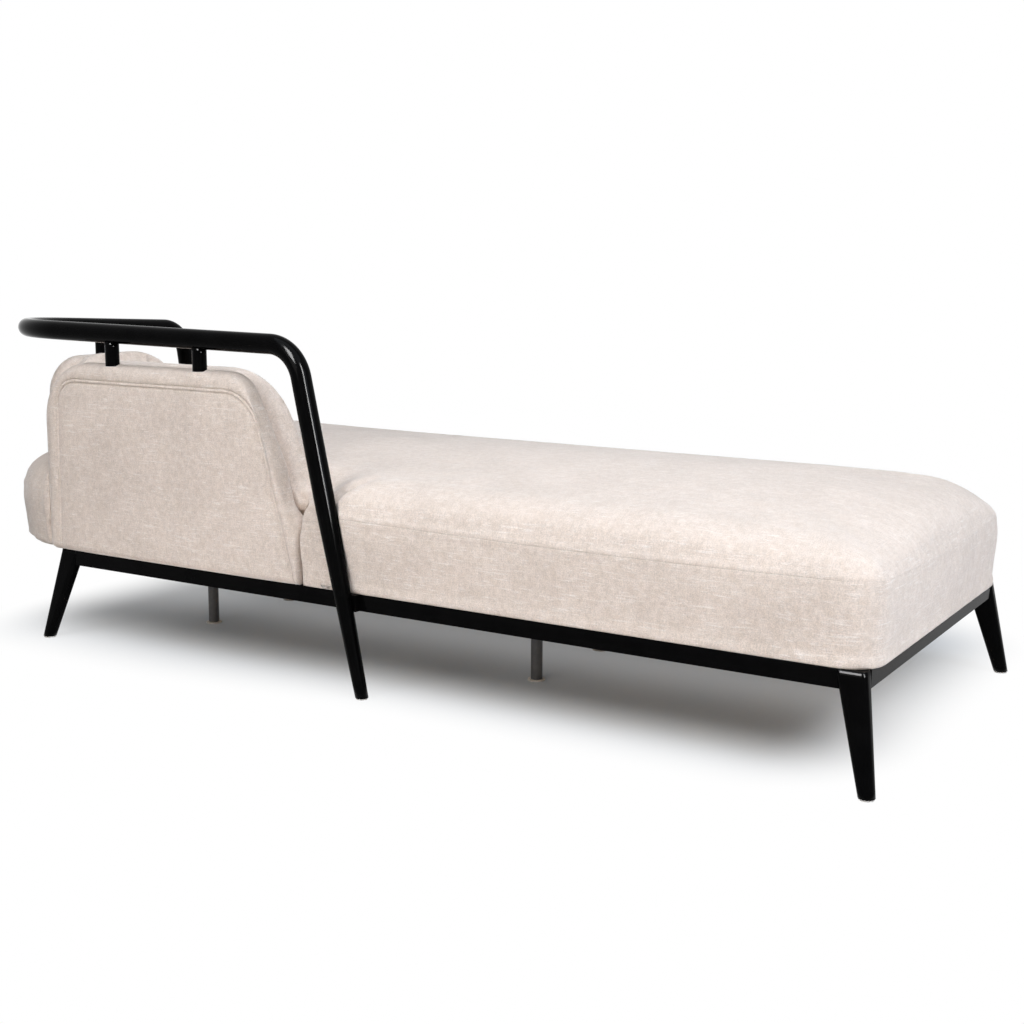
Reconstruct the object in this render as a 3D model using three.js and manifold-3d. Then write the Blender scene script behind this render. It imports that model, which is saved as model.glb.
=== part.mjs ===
// Chaise longue: a low upholstered bed on a black frame, with two short back panels at the head end
// and one bent handrail that runs round both of them. Millimetres, +Z up.
// The head end is at -X, the foot end at +X, and the side with the back panel (the near side) at -Y.
import * as THREE from 'three';
import { mergeVertices } from 'three/addons/utils/BufferGeometryUtils.js';
import Module from 'manifold-3d';

const wasm = await Module();
wasm.setup();
const { Manifold, Mesh: SolidMesh } = wasm;

// Frame
const frameLength = 1855;
const frameWidth = 811;
const railTopZ = 200;
const railHeight = 33;
const railThickness = 28;
const bearerThickness = 28;
const bearerShares = [0.11, 0.3474, 0.5846, 0.8218];
const supportBearers = [0, 2];
const supportSpread = 138;
const supportRadius = 12;
const supportGlideRadius = 18;

// Corner legs
const legBlockLength = 54;
const legBlockRounding = 9;
const legFootRadius = 14.2;
const legSplayX = 18.7;
const legSplayY = 27;

// Glides and fits
const glideHeight = 3;
const glideInset = 1.2;
const fitGap = 0.3;
const halfShare = 0.5;

// Head end under the overhanging seat
const headOverhang = 278.5;
const headArmNearInset = 269.5;
const headArmFarInset = 67.5;
const headBarNearInset = 255.5;
const headBarFarSetback = 18;

// Seat cushion
const seatHeadOverhang = 271.5;
const seatFootOverhang = 12;
const seatLobeRadius = 255;
const seatCornerRadius = 62;
const seatSeamHeight = 164;
const seatShoulderWidth = 90;
const seatFootShoulderWidth = 150;
const seatShoulderHeight = 58;
const seatCrown = 12;
const seatCornerDroop = 18;
const seatDroopReach = 420;
const seatLobeDroop = 24;
const seatLobeDroopReach = 620;
const seatBulge = 7;
const seatEdgeRounding = 10;
const seatHeadRounding = 42;
const seatBlendLength = 90;
const seatMinimumRadius = 12;

// Deck board
const deckThickness = 12;
const deckInset = 24;
const deckHeadInset = 84;
const deckLobeRadius = 200;

// Back panels: shells that stand on the frame and pads in front of them
const shellProud = 7.3;
const shellThickness = 55;
const shellEdgeRounding = 20;
const shellEdgeDepthShare = 1.1;
const shellInnerRounding = 6;
const shellFaceCrown = 3;
const shellBorderWidth = 40;
const shellTrimDepth = 30;
const panelTaper = 0.448;
const panelKneeHeight = 150;
const panelKneeRadius = 60;
const nearShellHeadSetback = 245;
const nearShellLength = 737;
const nearShellTopHeight = 420;
const nearShellHeadRadius = 141;
const nearShellFootRadius = 85;
const headShellNearInset = 224.5;
const headShellWidth = 426;
const headShellTopHeight = 404;
const headShellNearRadius = 90;
const headShellFarRadius = 170;
const padThickness = 76;
const padEdgeRounding = 26;
const padCrown = 9;
const padBuriedDepth = 30;
const nearPadRise = 2;
const headPadRise = 9;
const padFootReach = -29;
const padHeadInset = 14;
const nearPadHeadRadius = 130;
const nearPadFootRadius = 170;
const headPadNearRadius = 70;
const headPadFarRadius = 188;
const headPadFarReach = 2;

// Handrail
const tubeRadius = 20.5;
const tubeFootRadius = 12.5;
const tubeTaperHeight = 405;
const handrailInset = 9.7;
const handrailHeadInset = 17.8;
const handrailNearHeight = 478.3;
const handrailRiseAlong = 0.0129;
const handrailFallAcross = 0.05;
const handrailElbowRadius = 85;
const handrailCornerRadius = 280;
const nearLegFootReach = 159.5;
const nearLegTopReach = 99.46;
const nearLegSplay = 37.6;
const headLegFootReach = 175;
const headLegTopReach = 134.19;
const headLegSplay = 50;
const postRadius = 15;
const postDepth = 24;
const nearPostHeadInset = 211;
const nearPostFootInset = 275;
const headPostInset = 164;
const mountBlockLength = 48;
const mountBlockDepth = 12;
const grooveGap = 1.5;
const cutterReach = 60;

// Mesh fineness
const tubeSides = 20;
const elbowSteps = 9;
const cornerSteps = 18;
const postSides = 24;
const arcSteps = 7;
const fineArcSteps = 9;
const legArcSteps = 4;

// Derived values that several pieces share
const halfLength = frameLength * halfShare;
const halfWidth = frameWidth * halfShare;
const railBottomZ = railTopZ - railHeight;
const railMiddleZ = railTopZ - railHeight * halfShare;
const headX = -halfLength - headOverhang;
const seatHeadX = -halfLength - seatHeadOverhang;
const seatFootX = halfLength + seatFootOverhang;

// Places at the head end: the setback is measured from the head end, insets and reaches from the side or
// edge that they name
const nearShellHeadX = headX + nearShellHeadSetback;
const nearShellFootX = nearShellHeadX + nearShellLength;
const nearShellTopX = nearShellFootX - panelTaper * (nearShellTopHeight - panelKneeHeight);
const headShellNearY = -halfWidth + headShellNearInset;
const headShellFarY = headShellNearY + headShellWidth;
const headShellTopY = headShellFarY - panelTaper * (headShellTopHeight - panelKneeHeight);
const headArmNearY = -halfWidth + headArmNearInset;
const headArmFarY = halfWidth - headArmFarInset;
const headBarNearY = -halfWidth + headBarNearInset;
const nearLegFootX = nearShellFootX + nearLegFootReach;
const nearLegTopX = nearShellTopX + nearLegTopReach;
const headLegFootY = headShellFarY + headLegFootReach;
const headLegTopY = headShellTopY + headLegTopReach;
const headBarFarY = headLegFootY - headBarFarSetback;
const nearPostHeadX = nearShellHeadX + nearPostHeadInset;
const nearPostFootX = nearShellFootX - nearPostFootInset;
const headPostY = headShellNearY + headPostInset;

const blackLacquer = new THREE.MeshStandardMaterial({ color: 0x0c0b0c, roughness: 0.22, metalness: 0 });
const linen = new THREE.MeshStandardMaterial({ color: 0xd8ccc0, roughness: 0.95, metalness: 0 });
const glidePlastic = new THREE.MeshStandardMaterial({ color: 0xcfcac3, roughness: 0.6, metalness: 0 });
const supportPlastic = new THREE.MeshStandardMaterial({ color: 0x3a3838, roughness: 0.45, metalness: 0 });
const plywood = new THREE.MeshStandardMaterial({ color: 0xb8905f, roughness: 0.8, metalness: 0 });

const chaise = new THREE.Group();

// Places a geometry as a named piece
function addPiece(name, geometry, material, position = [0, 0, 0]) {
  const mesh = new THREE.Mesh(geometry, material);
  mesh.name = name;
  mesh.position.set(...position);
  chaise.add(mesh);
  return mesh;
}

// Box given by its low and high corners
function addBox(name, low, high, material) {
  const size = high.map((value, axis) => value - low[axis]);
  const middle = high.map((value, axis) => low[axis] + size[axis] * halfShare);
  return addPiece(name, new THREE.BoxGeometry(...size), material, middle);
}

// Geometry to solid and back
function toSolid(geometry, matrix = new THREE.Matrix4()) {
  const bare = geometry.clone();
  bare.deleteAttribute('uv');
  bare.deleteAttribute('normal');
  const merged = mergeVertices(bare.applyMatrix4(matrix));
  const solidMesh = new SolidMesh({
    numProp: 3,
    vertProperties: new Float32Array(merged.attributes.position.array),
    triVerts: new Uint32Array(merged.index.array),
  });
  return new Manifold(solidMesh);
}

function toGeometry(solid) {
  const mesh = solid.getMesh();
  const geometry = new THREE.BufferGeometry();
  geometry.setAttribute('position', new THREE.BufferAttribute(Float32Array.from(mesh.vertProperties), 3));
  geometry.setIndex(new THREE.BufferAttribute(Uint32Array.from(mesh.triVerts), 1));
  geometry.computeVertexNormals();
  return geometry;
}

function boxSolid(low, high) {
  const size = high.map((value, axis) => value - low[axis]);
  const middle = high.map((value, axis) => low[axis] + size[axis] * halfShare);
  return toSolid(new THREE.BoxGeometry(...size), new THREE.Matrix4().makeTranslation(...middle));
}

function uprightSolid(radius, x, y, bottom, top) {
  const column = new THREE.CylinderGeometry(radius, radius, top - bottom, postSides);
  column.rotateX(Math.PI * halfShare);
  return toSolid(column, new THREE.Matrix4().makeTranslation(x, y, bottom + (top - bottom) * halfShare));
}

// Outline with rounded corners, moved inwards by one inset or by one for each edge.
// Corners are [x, y, radius], counter-clockwise; every inset gives the same number of points.
function roundedOutline(corners, inset, steps, edgeSteps, minimumRadius) {
  const count = corners.length;
  const insets = Array.isArray(inset) ? inset : corners.map(() => inset);
  const lines = corners.map((corner, i) => {
    const next = corners[(i + 1) % count];
    const along = new THREE.Vector2(next[0] - corner[0], next[1] - corner[1]).normalize();
    const inward = new THREE.Vector2(-along.y, along.x);
    const point = new THREE.Vector2(corner[0], corner[1]).addScaledVector(inward, insets[i]);
    return { along, inward, point };
  });
  const arcs = corners.map((corner, i) => {
    const before = lines[(i + count - 1) % count];
    const after = lines[i];
    const cross = before.along.cross(after.along);
    const reach = after.point.clone().sub(before.point).cross(after.along) / cross;
    const tip = before.point.clone().addScaledVector(before.along, reach);
    const turn = Math.atan2(cross, before.along.dot(after.along));
    const nearest = Math.min(insets[i], insets[(i + count - 1) % count]);
    const radius = Math.max(corner[2] - nearest, minimumRadius);
    const start = tip.clone().addScaledVector(before.along, -radius * Math.tan(turn * halfShare));
    const centre = start.clone().addScaledVector(before.inward, radius);
    const points = [];
    for (let k = 0; k <= steps; k += 1) {
      const angle = turn * (k / steps);
      const spoke = before.inward.clone().negate().rotateAround(new THREE.Vector2(), angle);
      points.push(centre.clone().addScaledVector(spoke, radius));
    }
    return points;
  });
  const outline = [];
  arcs.forEach((points, i) => {
    outline.push(...points);
    const from = points[points.length - 1];
    const to = arcs[(i + 1) % count][0];
    for (let k = 1; k < edgeSteps[i]; k += 1) {
      outline.push(from.clone().lerp(to, k / edgeSteps[i]));
    }
  });
  return outline;
}

// Closed body through rings of equal length, each ring a list of [x, y, z], lowest ring first
function loft(rings) {
  const count = rings[0].length;
  const positions = rings.flat(2);
  const indices = [];
  for (let j = 0; j + 1 < rings.length; j += 1) {
    for (let i = 0; i < count; i += 1) {
      const next = (i + 1) % count;
      const a = j * count + i;
      const b = j * count + next;
      indices.push(a, b, b + count, a, b + count, a + count);
    }
  }
  [0, rings.length - 1].forEach((j) => {
    const centre = rings[j].reduce((sum, point) => sum.map((value, axis) => value + point[axis] / count), [0, 0, 0]);
    const hub = positions.length / centre.length;
    positions.push(...centre);
    for (let i = 0; i < count; i += 1) {
      const next = (i + 1) % count;
      const pair = [j * count + i, j * count + next];
      if (j === 0) {
        pair.reverse();
      }
      indices.push(hub, ...pair);
    }
  });
  const geometry = new THREE.BufferGeometry();
  geometry.setAttribute('position', new THREE.Float32BufferAttribute(positions, 3));
  geometry.setIndex(indices);
  geometry.computeVertexNormals();
  return geometry;
}

// Corner legs: they join two rails at the top and taper outwards to a round foot
const railInnerY = halfWidth - railThickness;
const railInnerX = halfLength - railThickness;
const footX = halfLength + legSplayX;
const footY = halfWidth + legSplayY;
const footSize = legFootRadius + legFootRadius;
const footRounding = legFootRadius - glideInset * halfShare;
function legRing(centreX, centreY, sizeX, sizeY, radius, z) {
  const x = sizeX * halfShare;
  const y = sizeY * halfShare;
  const corners = [[-x, -y, radius], [x, -y, radius], [x, y, radius], [-x, y, radius]];
  return roundedOutline(corners, 0, legArcSteps, [1, 1, 1, 1], 0).map((p) => [p.x + centreX, p.y + centreY, z]);
}
function cornerLeg(sx, sy, gap) {
  const wider = gap + gap;
  const topX = sx * (halfLength - legBlockLength * halfShare);
  const topY = sy * (halfWidth - railThickness * halfShare);
  return loft([
    legRing(sx * footX, sy * footY, footSize + wider, footSize + wider, footRounding + gap, glideHeight),
    legRing(topX, topY, legBlockLength + wider, railThickness + wider, legBlockRounding + gap, railTopZ + gap),
  ]);
}
const legCorners = { near_foot: [1, -1], far_foot: [1, 1], near_head: [-1, -1], far_head: [-1, 1] };
const legClearances = [];
Object.entries(legCorners).forEach(([name, [sx, sy]]) => {
  addPiece(`${name}_corner_leg`, cornerLeg(sx, sy, 0), blackLacquer);
  legClearances.push(toSolid(cornerLeg(sx, sy, fitGap)));
  const disc = new THREE.CylinderGeometry(legFootRadius - glideInset, legFootRadius - glideInset,
    glideHeight, postSides);
  disc.rotateX(Math.PI * halfShare);
  addPiece(`${name}_leg_glide`, disc, glidePlastic, [sx * footX, sy * footY, glideHeight * halfShare]);
});

// Frame rails, their ends fitted to the corner legs
const railReach = legBlockLength * halfShare;
const rails = {
  near_frame_rail: [[-halfLength + railReach, -halfWidth], [halfLength - railReach, -railInnerY]],
  far_frame_rail: [[-halfLength + railReach, railInnerY], [halfLength - railReach, halfWidth]],
  foot_frame_rail: [[railInnerX, -railInnerY + fitGap], [halfLength, railInnerY - fitGap]],
  head_frame_rail: [[-halfLength, -railInnerY + fitGap], [-railInnerX, railInnerY - fitGap]],
};
Object.entries(rails).forEach(([name, [low, high]]) => {
  const bar = boxSolid([...low, railBottomZ], [...high, railTopZ]);
  const fitted = legClearances.reduce((solid, leg) => solid.subtract(leg), bar);
  const pieces = fitted.decompose();
  pieces.sort((a, b) => b.volume() - a.volume());
  addPiece(name, toGeometry(pieces[0]), blackLacquer);
});

// Cross bearers, with centre supports under two of them
bearerShares.forEach((share, index) => {
  const x = -halfLength + frameLength * share;
  const low = [x - bearerThickness * halfShare, -railInnerY + fitGap, railBottomZ];
  const high = [x + bearerThickness * halfShare, railInnerY - fitGap, railTopZ];
  addBox(`cross_bearer_${index + 1}`, low, high, blackLacquer);
  if (!supportBearers.includes(index)) {
    return;
  }
  [['near', -supportSpread], ['far', supportSpread]].forEach(([side, y]) => {
    const height = railBottomZ - glideHeight;
    const column = new THREE.CylinderGeometry(supportRadius, supportRadius, height, postSides);
    column.rotateX(Math.PI * halfShare);
    addPiece(`centre_support_${side}_${index + 1}`, column, supportPlastic,
      [x, y, glideHeight + height * halfShare]);
    const disc = new THREE.CylinderGeometry(supportGlideRadius, supportGlideRadius, glideHeight, postSides);
    disc.rotateX(Math.PI * halfShare);
    addPiece(`centre_glide_${side}_${index + 1}`, disc, glidePlastic, [x, y, glideHeight * halfShare]);
  });
});

// Arms and bar that carry the overhanging head end and the second leg of the handrail
const barInnerX = headX + railThickness;
[['near', headArmNearY], ['far', headArmFarY]].forEach(([side, y]) => {
  const low = [barInnerX + fitGap, y - bearerThickness * halfShare, railBottomZ];
  const high = [-halfLength - fitGap, y + bearerThickness * halfShare, railTopZ];
  addBox(`head_arm_${side}`, low, high, blackLacquer);
});
addBox('head_cross_bar', [headX, headBarNearY, railBottomZ], [barInnerX, headBarFarY, railTopZ], blackLacquer);

// Handrail path: foot, three turning points and foot
const handrailY = -halfWidth + handrailInset;
const handrailX = headX + handrailHeadInset;
const nearTop = new THREE.Vector3(nearLegTopX, handrailY, railTopZ + handrailNearHeight);
function handrailZ(x, y) {
  return nearTop.z - handrailRiseAlong * (x - nearTop.x) - handrailFallAcross * (y - nearTop.y);
}
const nearFoot = new THREE.Vector3(nearLegFootX, handrailY - nearLegSplay, glideHeight);
const cornerTip = new THREE.Vector3(handrailX, handrailY, handrailZ(handrailX, handrailY));
const headTop = new THREE.Vector3(handrailX, headLegTopY, handrailZ(handrailX, headLegTopY));
const headFoot = new THREE.Vector3(handrailX - headLegSplay, headLegFootY, glideHeight);

// Circular bend between two straight runs, met square at both ends
class BendCurve extends THREE.Curve {
  constructor(before, tip, after, radius) {
    super();
    const incoming = tip.clone().sub(before).normalize();
    const outgoing = after.clone().sub(tip).normalize();
    this.angle = incoming.angleTo(outgoing);
    const reach = radius * Math.tan(this.angle * halfShare);
    this.start = tip.clone().addScaledVector(incoming, -reach);
    this.end = tip.clone().addScaledVector(outgoing, reach);
    this.radius = radius;
    this.incoming = incoming;
    this.side = outgoing.clone().addScaledVector(incoming, -outgoing.dot(incoming)).normalize();
    this.centre = this.start.clone().addScaledVector(this.side, radius);
  }

  getPoint(t, target = new THREE.Vector3()) {
    const turned = this.angle * t;
    return target.copy(this.centre)
      .addScaledVector(this.side, -this.radius * Math.cos(turned))
      .addScaledVector(this.incoming, this.radius * Math.sin(turned));
  }

  getTangent(t, target = new THREE.Vector3()) {
    const turned = this.angle * t;
    return target.set(0, 0, 0)
      .addScaledVector(this.incoming, Math.cos(turned))
      .addScaledVector(this.side, Math.sin(turned));
  }
}

const nearElbow = new BendCurve(nearFoot, nearTop, cornerTip, handrailElbowRadius);
const cornerBend = new BendCurve(nearTop, cornerTip, headTop, handrailCornerRadius);
const headElbow = new BendCurve(cornerTip, headTop, headFoot, handrailElbowRadius);

function tubeShape(radius) {
  const points = [];
  for (let k = 0; k < tubeSides; k += 1) {
    const angle = Math.PI * (k + k) / tubeSides;
    points.push(new THREE.Vector2(Math.cos(angle) * radius, Math.sin(angle) * radius));
  }
  return new THREE.Shape(points);
}
function tube(path, steps, radius = tubeRadius) {
  return new THREE.ExtrudeGeometry(tubeShape(radius), { extrudePath: path, steps, bevelEnabled: false });
}
function straight(from, to, trim) {
  const along = to.clone().sub(from).normalize();
  return new THREE.LineCurve3(from.clone().addScaledVector(along, trim), to.clone().addScaledVector(along, -trim));
}
addPiece('handrail_near_elbow', tube(nearElbow, elbowSteps), blackLacquer);
addPiece('handrail_near_run', tube(straight(nearElbow.end, cornerBend.start, fitGap), 1), blackLacquer);
addPiece('handrail_corner_bend', tube(cornerBend, cornerSteps), blackLacquer);
addPiece('handrail_head_run', tube(straight(cornerBend.end, headElbow.start, fitGap), 1), blackLacquer);
addPiece('handrail_head_elbow', tube(headElbow, elbowSteps), blackLacquer);

// Handrail legs: full section at the top, tapered to a slim foot that is cut level on its glide
function legSolid(foot, top, gap) {
  const along = top.clone().sub(foot).normalize();
  const start = foot.clone().addScaledVector(along, -tubeRadius);
  const length = start.distanceTo(top) - fitGap;
  const profile = [
    new THREE.Vector2(0, 0),
    new THREE.Vector2(tubeFootRadius + gap, 0),
    new THREE.Vector2(tubeRadius + gap, tubeTaperHeight),
    new THREE.Vector2(tubeRadius + gap, length),
    new THREE.Vector2(0, length),
  ];
  const turn = new THREE.Quaternion().setFromUnitVectors(new THREE.Vector3(0, 1, 0), along);
  const matrix = new THREE.Matrix4().compose(start, turn, new THREE.Vector3(1, 1, 1));
  return toSolid(new THREE.LatheGeometry(profile, tubeSides), matrix).trimByPlane([0, 0, 1], glideHeight);
}
const legEnds = { near: [nearFoot, nearElbow.start], head: [headFoot, headElbow.end] };
const legGrooves = [];
Object.entries(legEnds).forEach(([side, [foot, top]]) => {
  addPiece(`handrail_${side}_leg`, toGeometry(legSolid(foot, top, 0)), blackLacquer);
  legGrooves.push(legSolid(foot, top, grooveGap));
  const disc = new THREE.CylinderGeometry(tubeFootRadius - glideInset, tubeFootRadius - glideInset,
    glideHeight, postSides);
  disc.rotateX(Math.PI * halfShare);
  addPiece(`handrail_${side}_glide`, disc, glidePlastic, [foot.x, foot.y, glideHeight * halfShare]);
});

// Mounting blocks between the handrail legs and the frame, hollowed to the round of the leg
function legPointAt(foot, top, z) {
  return foot.clone().lerp(top, (z - foot.z) / (top.z - foot.z));
}
const nearMount = legPointAt(nearFoot, nearElbow.start, railMiddleZ);
const headMount = legPointAt(headFoot, headElbow.end, railMiddleZ);
const mountHalf = mountBlockLength * halfShare;
const nearBlock = boxSolid(
  [nearMount.x - mountHalf, -halfWidth - mountBlockDepth, railBottomZ],
  [nearMount.x + mountHalf, -halfWidth, railTopZ]);
const headBlock = boxSolid(
  [headX - mountBlockDepth, headMount.y - mountHalf, railBottomZ],
  [headX, headMount.y + mountHalf, railTopZ]);
const nearFit = legSolid(nearFoot, nearElbow.start, fitGap);
const headFit = legSolid(headFoot, headElbow.end, fitGap);
addPiece('near_leg_mount_block', toGeometry(nearBlock.subtract(nearFit)), blackLacquer);
addPiece('head_leg_mount_block', toGeometry(headBlock.subtract(headFit)), blackLacquer);

// Posts from the panels up to the handrail, coped to the round of the tube
const nearRun = straight(nearElbow.end, cornerBend.start, 0);
const headRun = straight(cornerBend.end, headElbow.start, 0);
const nearShellTopZ = railTopZ + nearShellTopHeight;
const headShellTopZ = railTopZ + headShellTopHeight;
const postHoles = [];
function addPost(name, x, y, shellTopZ, run) {
  const bottom = shellTopZ - postDepth;
  const top = handrailZ(x, y);
  const post = uprightSolid(postRadius, x, y, bottom, top);
  const saddle = toSolid(tube(run, 1, tubeRadius + fitGap));
  addPiece(name, toGeometry(post.subtract(saddle)), blackLacquer);
  postHoles.push(uprightSolid(postRadius + fitGap, x, y, bottom - fitGap, top - fitGap));
}
addPost('near_post_head_side', nearPostHeadX, handrailY, nearShellTopZ, nearRun);
addPost('near_post_foot_side', nearPostFootX, handrailY, nearShellTopZ, nearRun);
addPost('head_post', handrailX, headPostY, headShellTopZ, headRun);

// Upholstered slab in its own plane: outline in XY, inner face at z = 0, rounded outer face at z = thickness
function slab(corners, thickness, edgeRounding, innerRounding, crown, border, minimum) {
  const edgeSteps = [4, 2, 3, 5, 3];
  const at = (inset, z) => roundedOutline(corners, inset, arcSteps, edgeSteps, minimum).map((p) => [p.x, p.y, z]);
  const innerShare = 0.3;
  const roundShares = [0.35, 0.7, 1];
  const crownShares = [0.45, 0.8, 1];
  const rings = [
    at(innerRounding, 0),
    at(innerRounding * innerShare, innerRounding * innerShare),
    at(0, innerRounding),
  ];
  const edgeDepth = edgeRounding * shellEdgeDepthShare;
  const shoulder = thickness - edgeDepth;
  rings.push(at(0, shoulder));
  roundShares.forEach((share) => {
    const angle = share * Math.PI * halfShare;
    const inset = edgeRounding * (1 - Math.cos(angle));
    rings.push(at(inset, shoulder + edgeDepth * Math.sin(angle)));
  });
  crownShares.forEach((share) => {
    rings.push(at(edgeRounding + border * share, thickness + crown * Math.sin(share * Math.PI * halfShare)));
  });
  return loft(rings);
}
const nearPlane = new THREE.Matrix4().makeBasis(
  new THREE.Vector3(1, 0, 0), new THREE.Vector3(0, 0, 1), new THREE.Vector3(0, -1, 0));
const headPlane = new THREE.Matrix4().makeBasis(
  new THREE.Vector3(0, -1, 0), new THREE.Vector3(0, 0, 1), new THREE.Vector3(-1, 0, 0));
function planeMatrix(basis, x, y) {
  return new THREE.Matrix4().makeTranslation(x, y, 0).multiply(basis);
}

// Outline of a panel: upright on one side, on the other upright to a knee and leaning in above it
function panelCorners(upright, leaning, topZ, uprightRadius, leaningRadius, bottomZ, radius) {
  const kneeZ = railTopZ + panelKneeHeight;
  const top = leaning - panelTaper * Math.sign(leaning - upright) * (topZ - kneeZ);
  const corners = [[upright, bottomZ, radius], [leaning, bottomZ, radius], [leaning, kneeZ, panelKneeRadius],
    [top, topZ, leaningRadius], [upright, topZ, uprightRadius]];
  return leaning > upright ? corners : corners.reverse();
}
const shellBottomZ = railTopZ - shellTrimDepth;
const nearShellCorners = panelCorners(nearShellHeadX, nearShellFootX, nearShellTopZ,
  nearShellHeadRadius, nearShellFootRadius, shellBottomZ, shellEdgeRounding);
const headShellCorners = panelCorners(-headShellNearY, -headShellFarY, headShellTopZ,
  headShellNearRadius, headShellFarRadius, shellBottomZ, shellEdgeRounding);
const nearShellY = -halfWidth - shellProud + shellThickness;
const headShellX = headX - shellProud + shellThickness;
const shells = {
  near_back_shell: [nearShellCorners, planeMatrix(nearPlane, 0, nearShellY)],
  head_back_shell: [headShellCorners, planeMatrix(headPlane, headShellX, 0)],
};
const shellCuts = [];
Object.entries(shells).forEach(([name, [corners, matrix]]) => {
  const body = toSolid(slab(corners, shellThickness, shellEdgeRounding, shellInnerRounding,
    shellFaceCrown, shellBorderWidth, shellInnerRounding), matrix);
  const bored = postHoles.reduce((solid, hole) => solid.subtract(hole), body.trimByPlane([0, 0, 1], railTopZ));
  addPiece(name, toGeometry(bored), linen);
  const shape = new THREE.Shape(roundedOutline(corners, -fitGap, arcSteps, corners.map(() => 1), shellInnerRounding));
  const cut = new THREE.ExtrudeGeometry(shape, { depth: shellThickness + cutterReach, bevelEnabled: false });
  shellCuts.push(toSolid(cut, matrix.clone().multiply(new THREE.Matrix4().makeTranslation(0, 0, -fitGap))));
});

// Seat cushion: square to the frame at the foot, a broad rounded lobe at the head
const seatCorners = [
  [seatHeadX, -halfWidth, seatLobeRadius],
  [seatFootX, -halfWidth, seatCornerRadius],
  [seatFootX, halfWidth, seatCornerRadius],
  [seatHeadX, halfWidth, seatCornerRadius],
];
const seatEdgeSteps = [10, 5, 12, 3];
function seatRing(sideInset, headInset, sideZ, headZ, footInset = sideInset) {
  const sideInsets = [sideInset, footInset, sideInset, sideInset];
  const side = roundedOutline(seatCorners, sideInsets, fineArcSteps, seatEdgeSteps, seatMinimumRadius);
  const head = roundedOutline(seatCorners, headInset, fineArcSteps, seatEdgeSteps, seatMinimumRadius);
  return side.map((point, i) => {
    const share = THREE.MathUtils.smoothstep(-point.x, halfLength - seatBlendLength, halfLength);
    const mixed = point.clone().lerp(head[i], share);
    const toCorner = Math.hypot(seatFootX - point.x, halfWidth - Math.abs(point.y));
    const toLobe = Math.hypot(point.x - seatHeadX, point.y + halfWidth);
    const droop = seatCornerDroop * (1 - THREE.MathUtils.smoothstep(toCorner, 0, seatDroopReach))
      + seatLobeDroop * (1 - THREE.MathUtils.smoothstep(toLobe, 0, seatLobeDroopReach));
    const rise = (sideZ - railTopZ) / seatSeamHeight;
    return [mixed.x, mixed.y, sideZ + (headZ - sideZ) * share - droop * Math.min(rise * rise, 1)];
  });
}
const seamZ = railTopZ + seatSeamHeight;
const seatRings = [];
const bottomShares = [0, 0.4, 0.75, 1];
bottomShares.forEach((share) => {
  const angle = share * Math.PI * halfShare;
  const inward = 1 - Math.sin(angle);
  const upward = 1 - Math.cos(angle);
  seatRings.push(seatRing(seatEdgeRounding * inward, seatHeadRounding * inward,
    railTopZ + seatEdgeRounding * upward, railTopZ + seatHeadRounding * upward));
});
const bulgeShares = [0.6, 0.82];
bulgeShares.forEach((share, index) => {
  const out = -seatBulge * (1 - index * halfShare * halfShare);
  const z = railTopZ + seatSeamHeight * share;
  seatRings.push(seatRing(out, out, z, z));
});
const shoulderShares = [0, 0.18, 0.38, 0.62, 1];
shoulderShares.forEach((share) => {
  const angle = share * Math.PI * halfShare;
  const inward = 1 - Math.cos(angle);
  const inset = seatShoulderWidth * inward;
  const z = seamZ + seatShoulderHeight * Math.sin(angle);
  seatRings.push(seatRing(inset, inset, z, z, seatFootShoulderWidth * inward));
});
const crownShares = [0.3, 0.65, 1];
const crownWidth = halfWidth - seatShoulderWidth - seatEdgeRounding - seatMinimumRadius;
crownShares.forEach((share) => {
  const inset = seatShoulderWidth + crownWidth * share;
  const z = seamZ + seatShoulderHeight + seatCrown * Math.sin(share * Math.PI * halfShare);
  seatRings.push(seatRing(inset, inset, z, z, seatFootShoulderWidth + crownWidth * share));
});

// Deck board under the seat, let into the cushion
const deckCorners = [
  [seatHeadX + deckHeadInset, -halfWidth + deckInset, deckLobeRadius],
  [seatFootX - deckInset - seatFootOverhang, -halfWidth + deckInset, seatCornerRadius],
  [seatFootX - deckInset - seatFootOverhang, halfWidth - deckInset, seatCornerRadius],
  [seatHeadX + deckHeadInset, halfWidth - deckInset, seatCornerRadius],
];
function deckSolid(gap) {
  const outline = roundedOutline(deckCorners, -gap, arcSteps, [1, 1, 1, 1], seatMinimumRadius);
  const plate = new THREE.ExtrudeGeometry(new THREE.Shape(outline), { depth: deckThickness + gap, bevelEnabled: false });
  return toSolid(plate, new THREE.Matrix4().makeTranslation(0, 0, railTopZ));
}
const deckRecess = deckSolid(fitGap).add(deckSolid(fitGap).translate([0, 0, -deckThickness * halfShare]));
const deck = shellCuts.reduce((solid, cut) => solid.subtract(cut), deckSolid(0));
addPiece('seat_deck_board', toGeometry(deck), plywood);
const seat = [...shellCuts, ...legGrooves, deckRecess].reduce((solid, cut) => solid.subtract(cut), toSolid(loft(seatRings)));
addPiece('seat_cushion', toGeometry(seat), linen);

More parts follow.
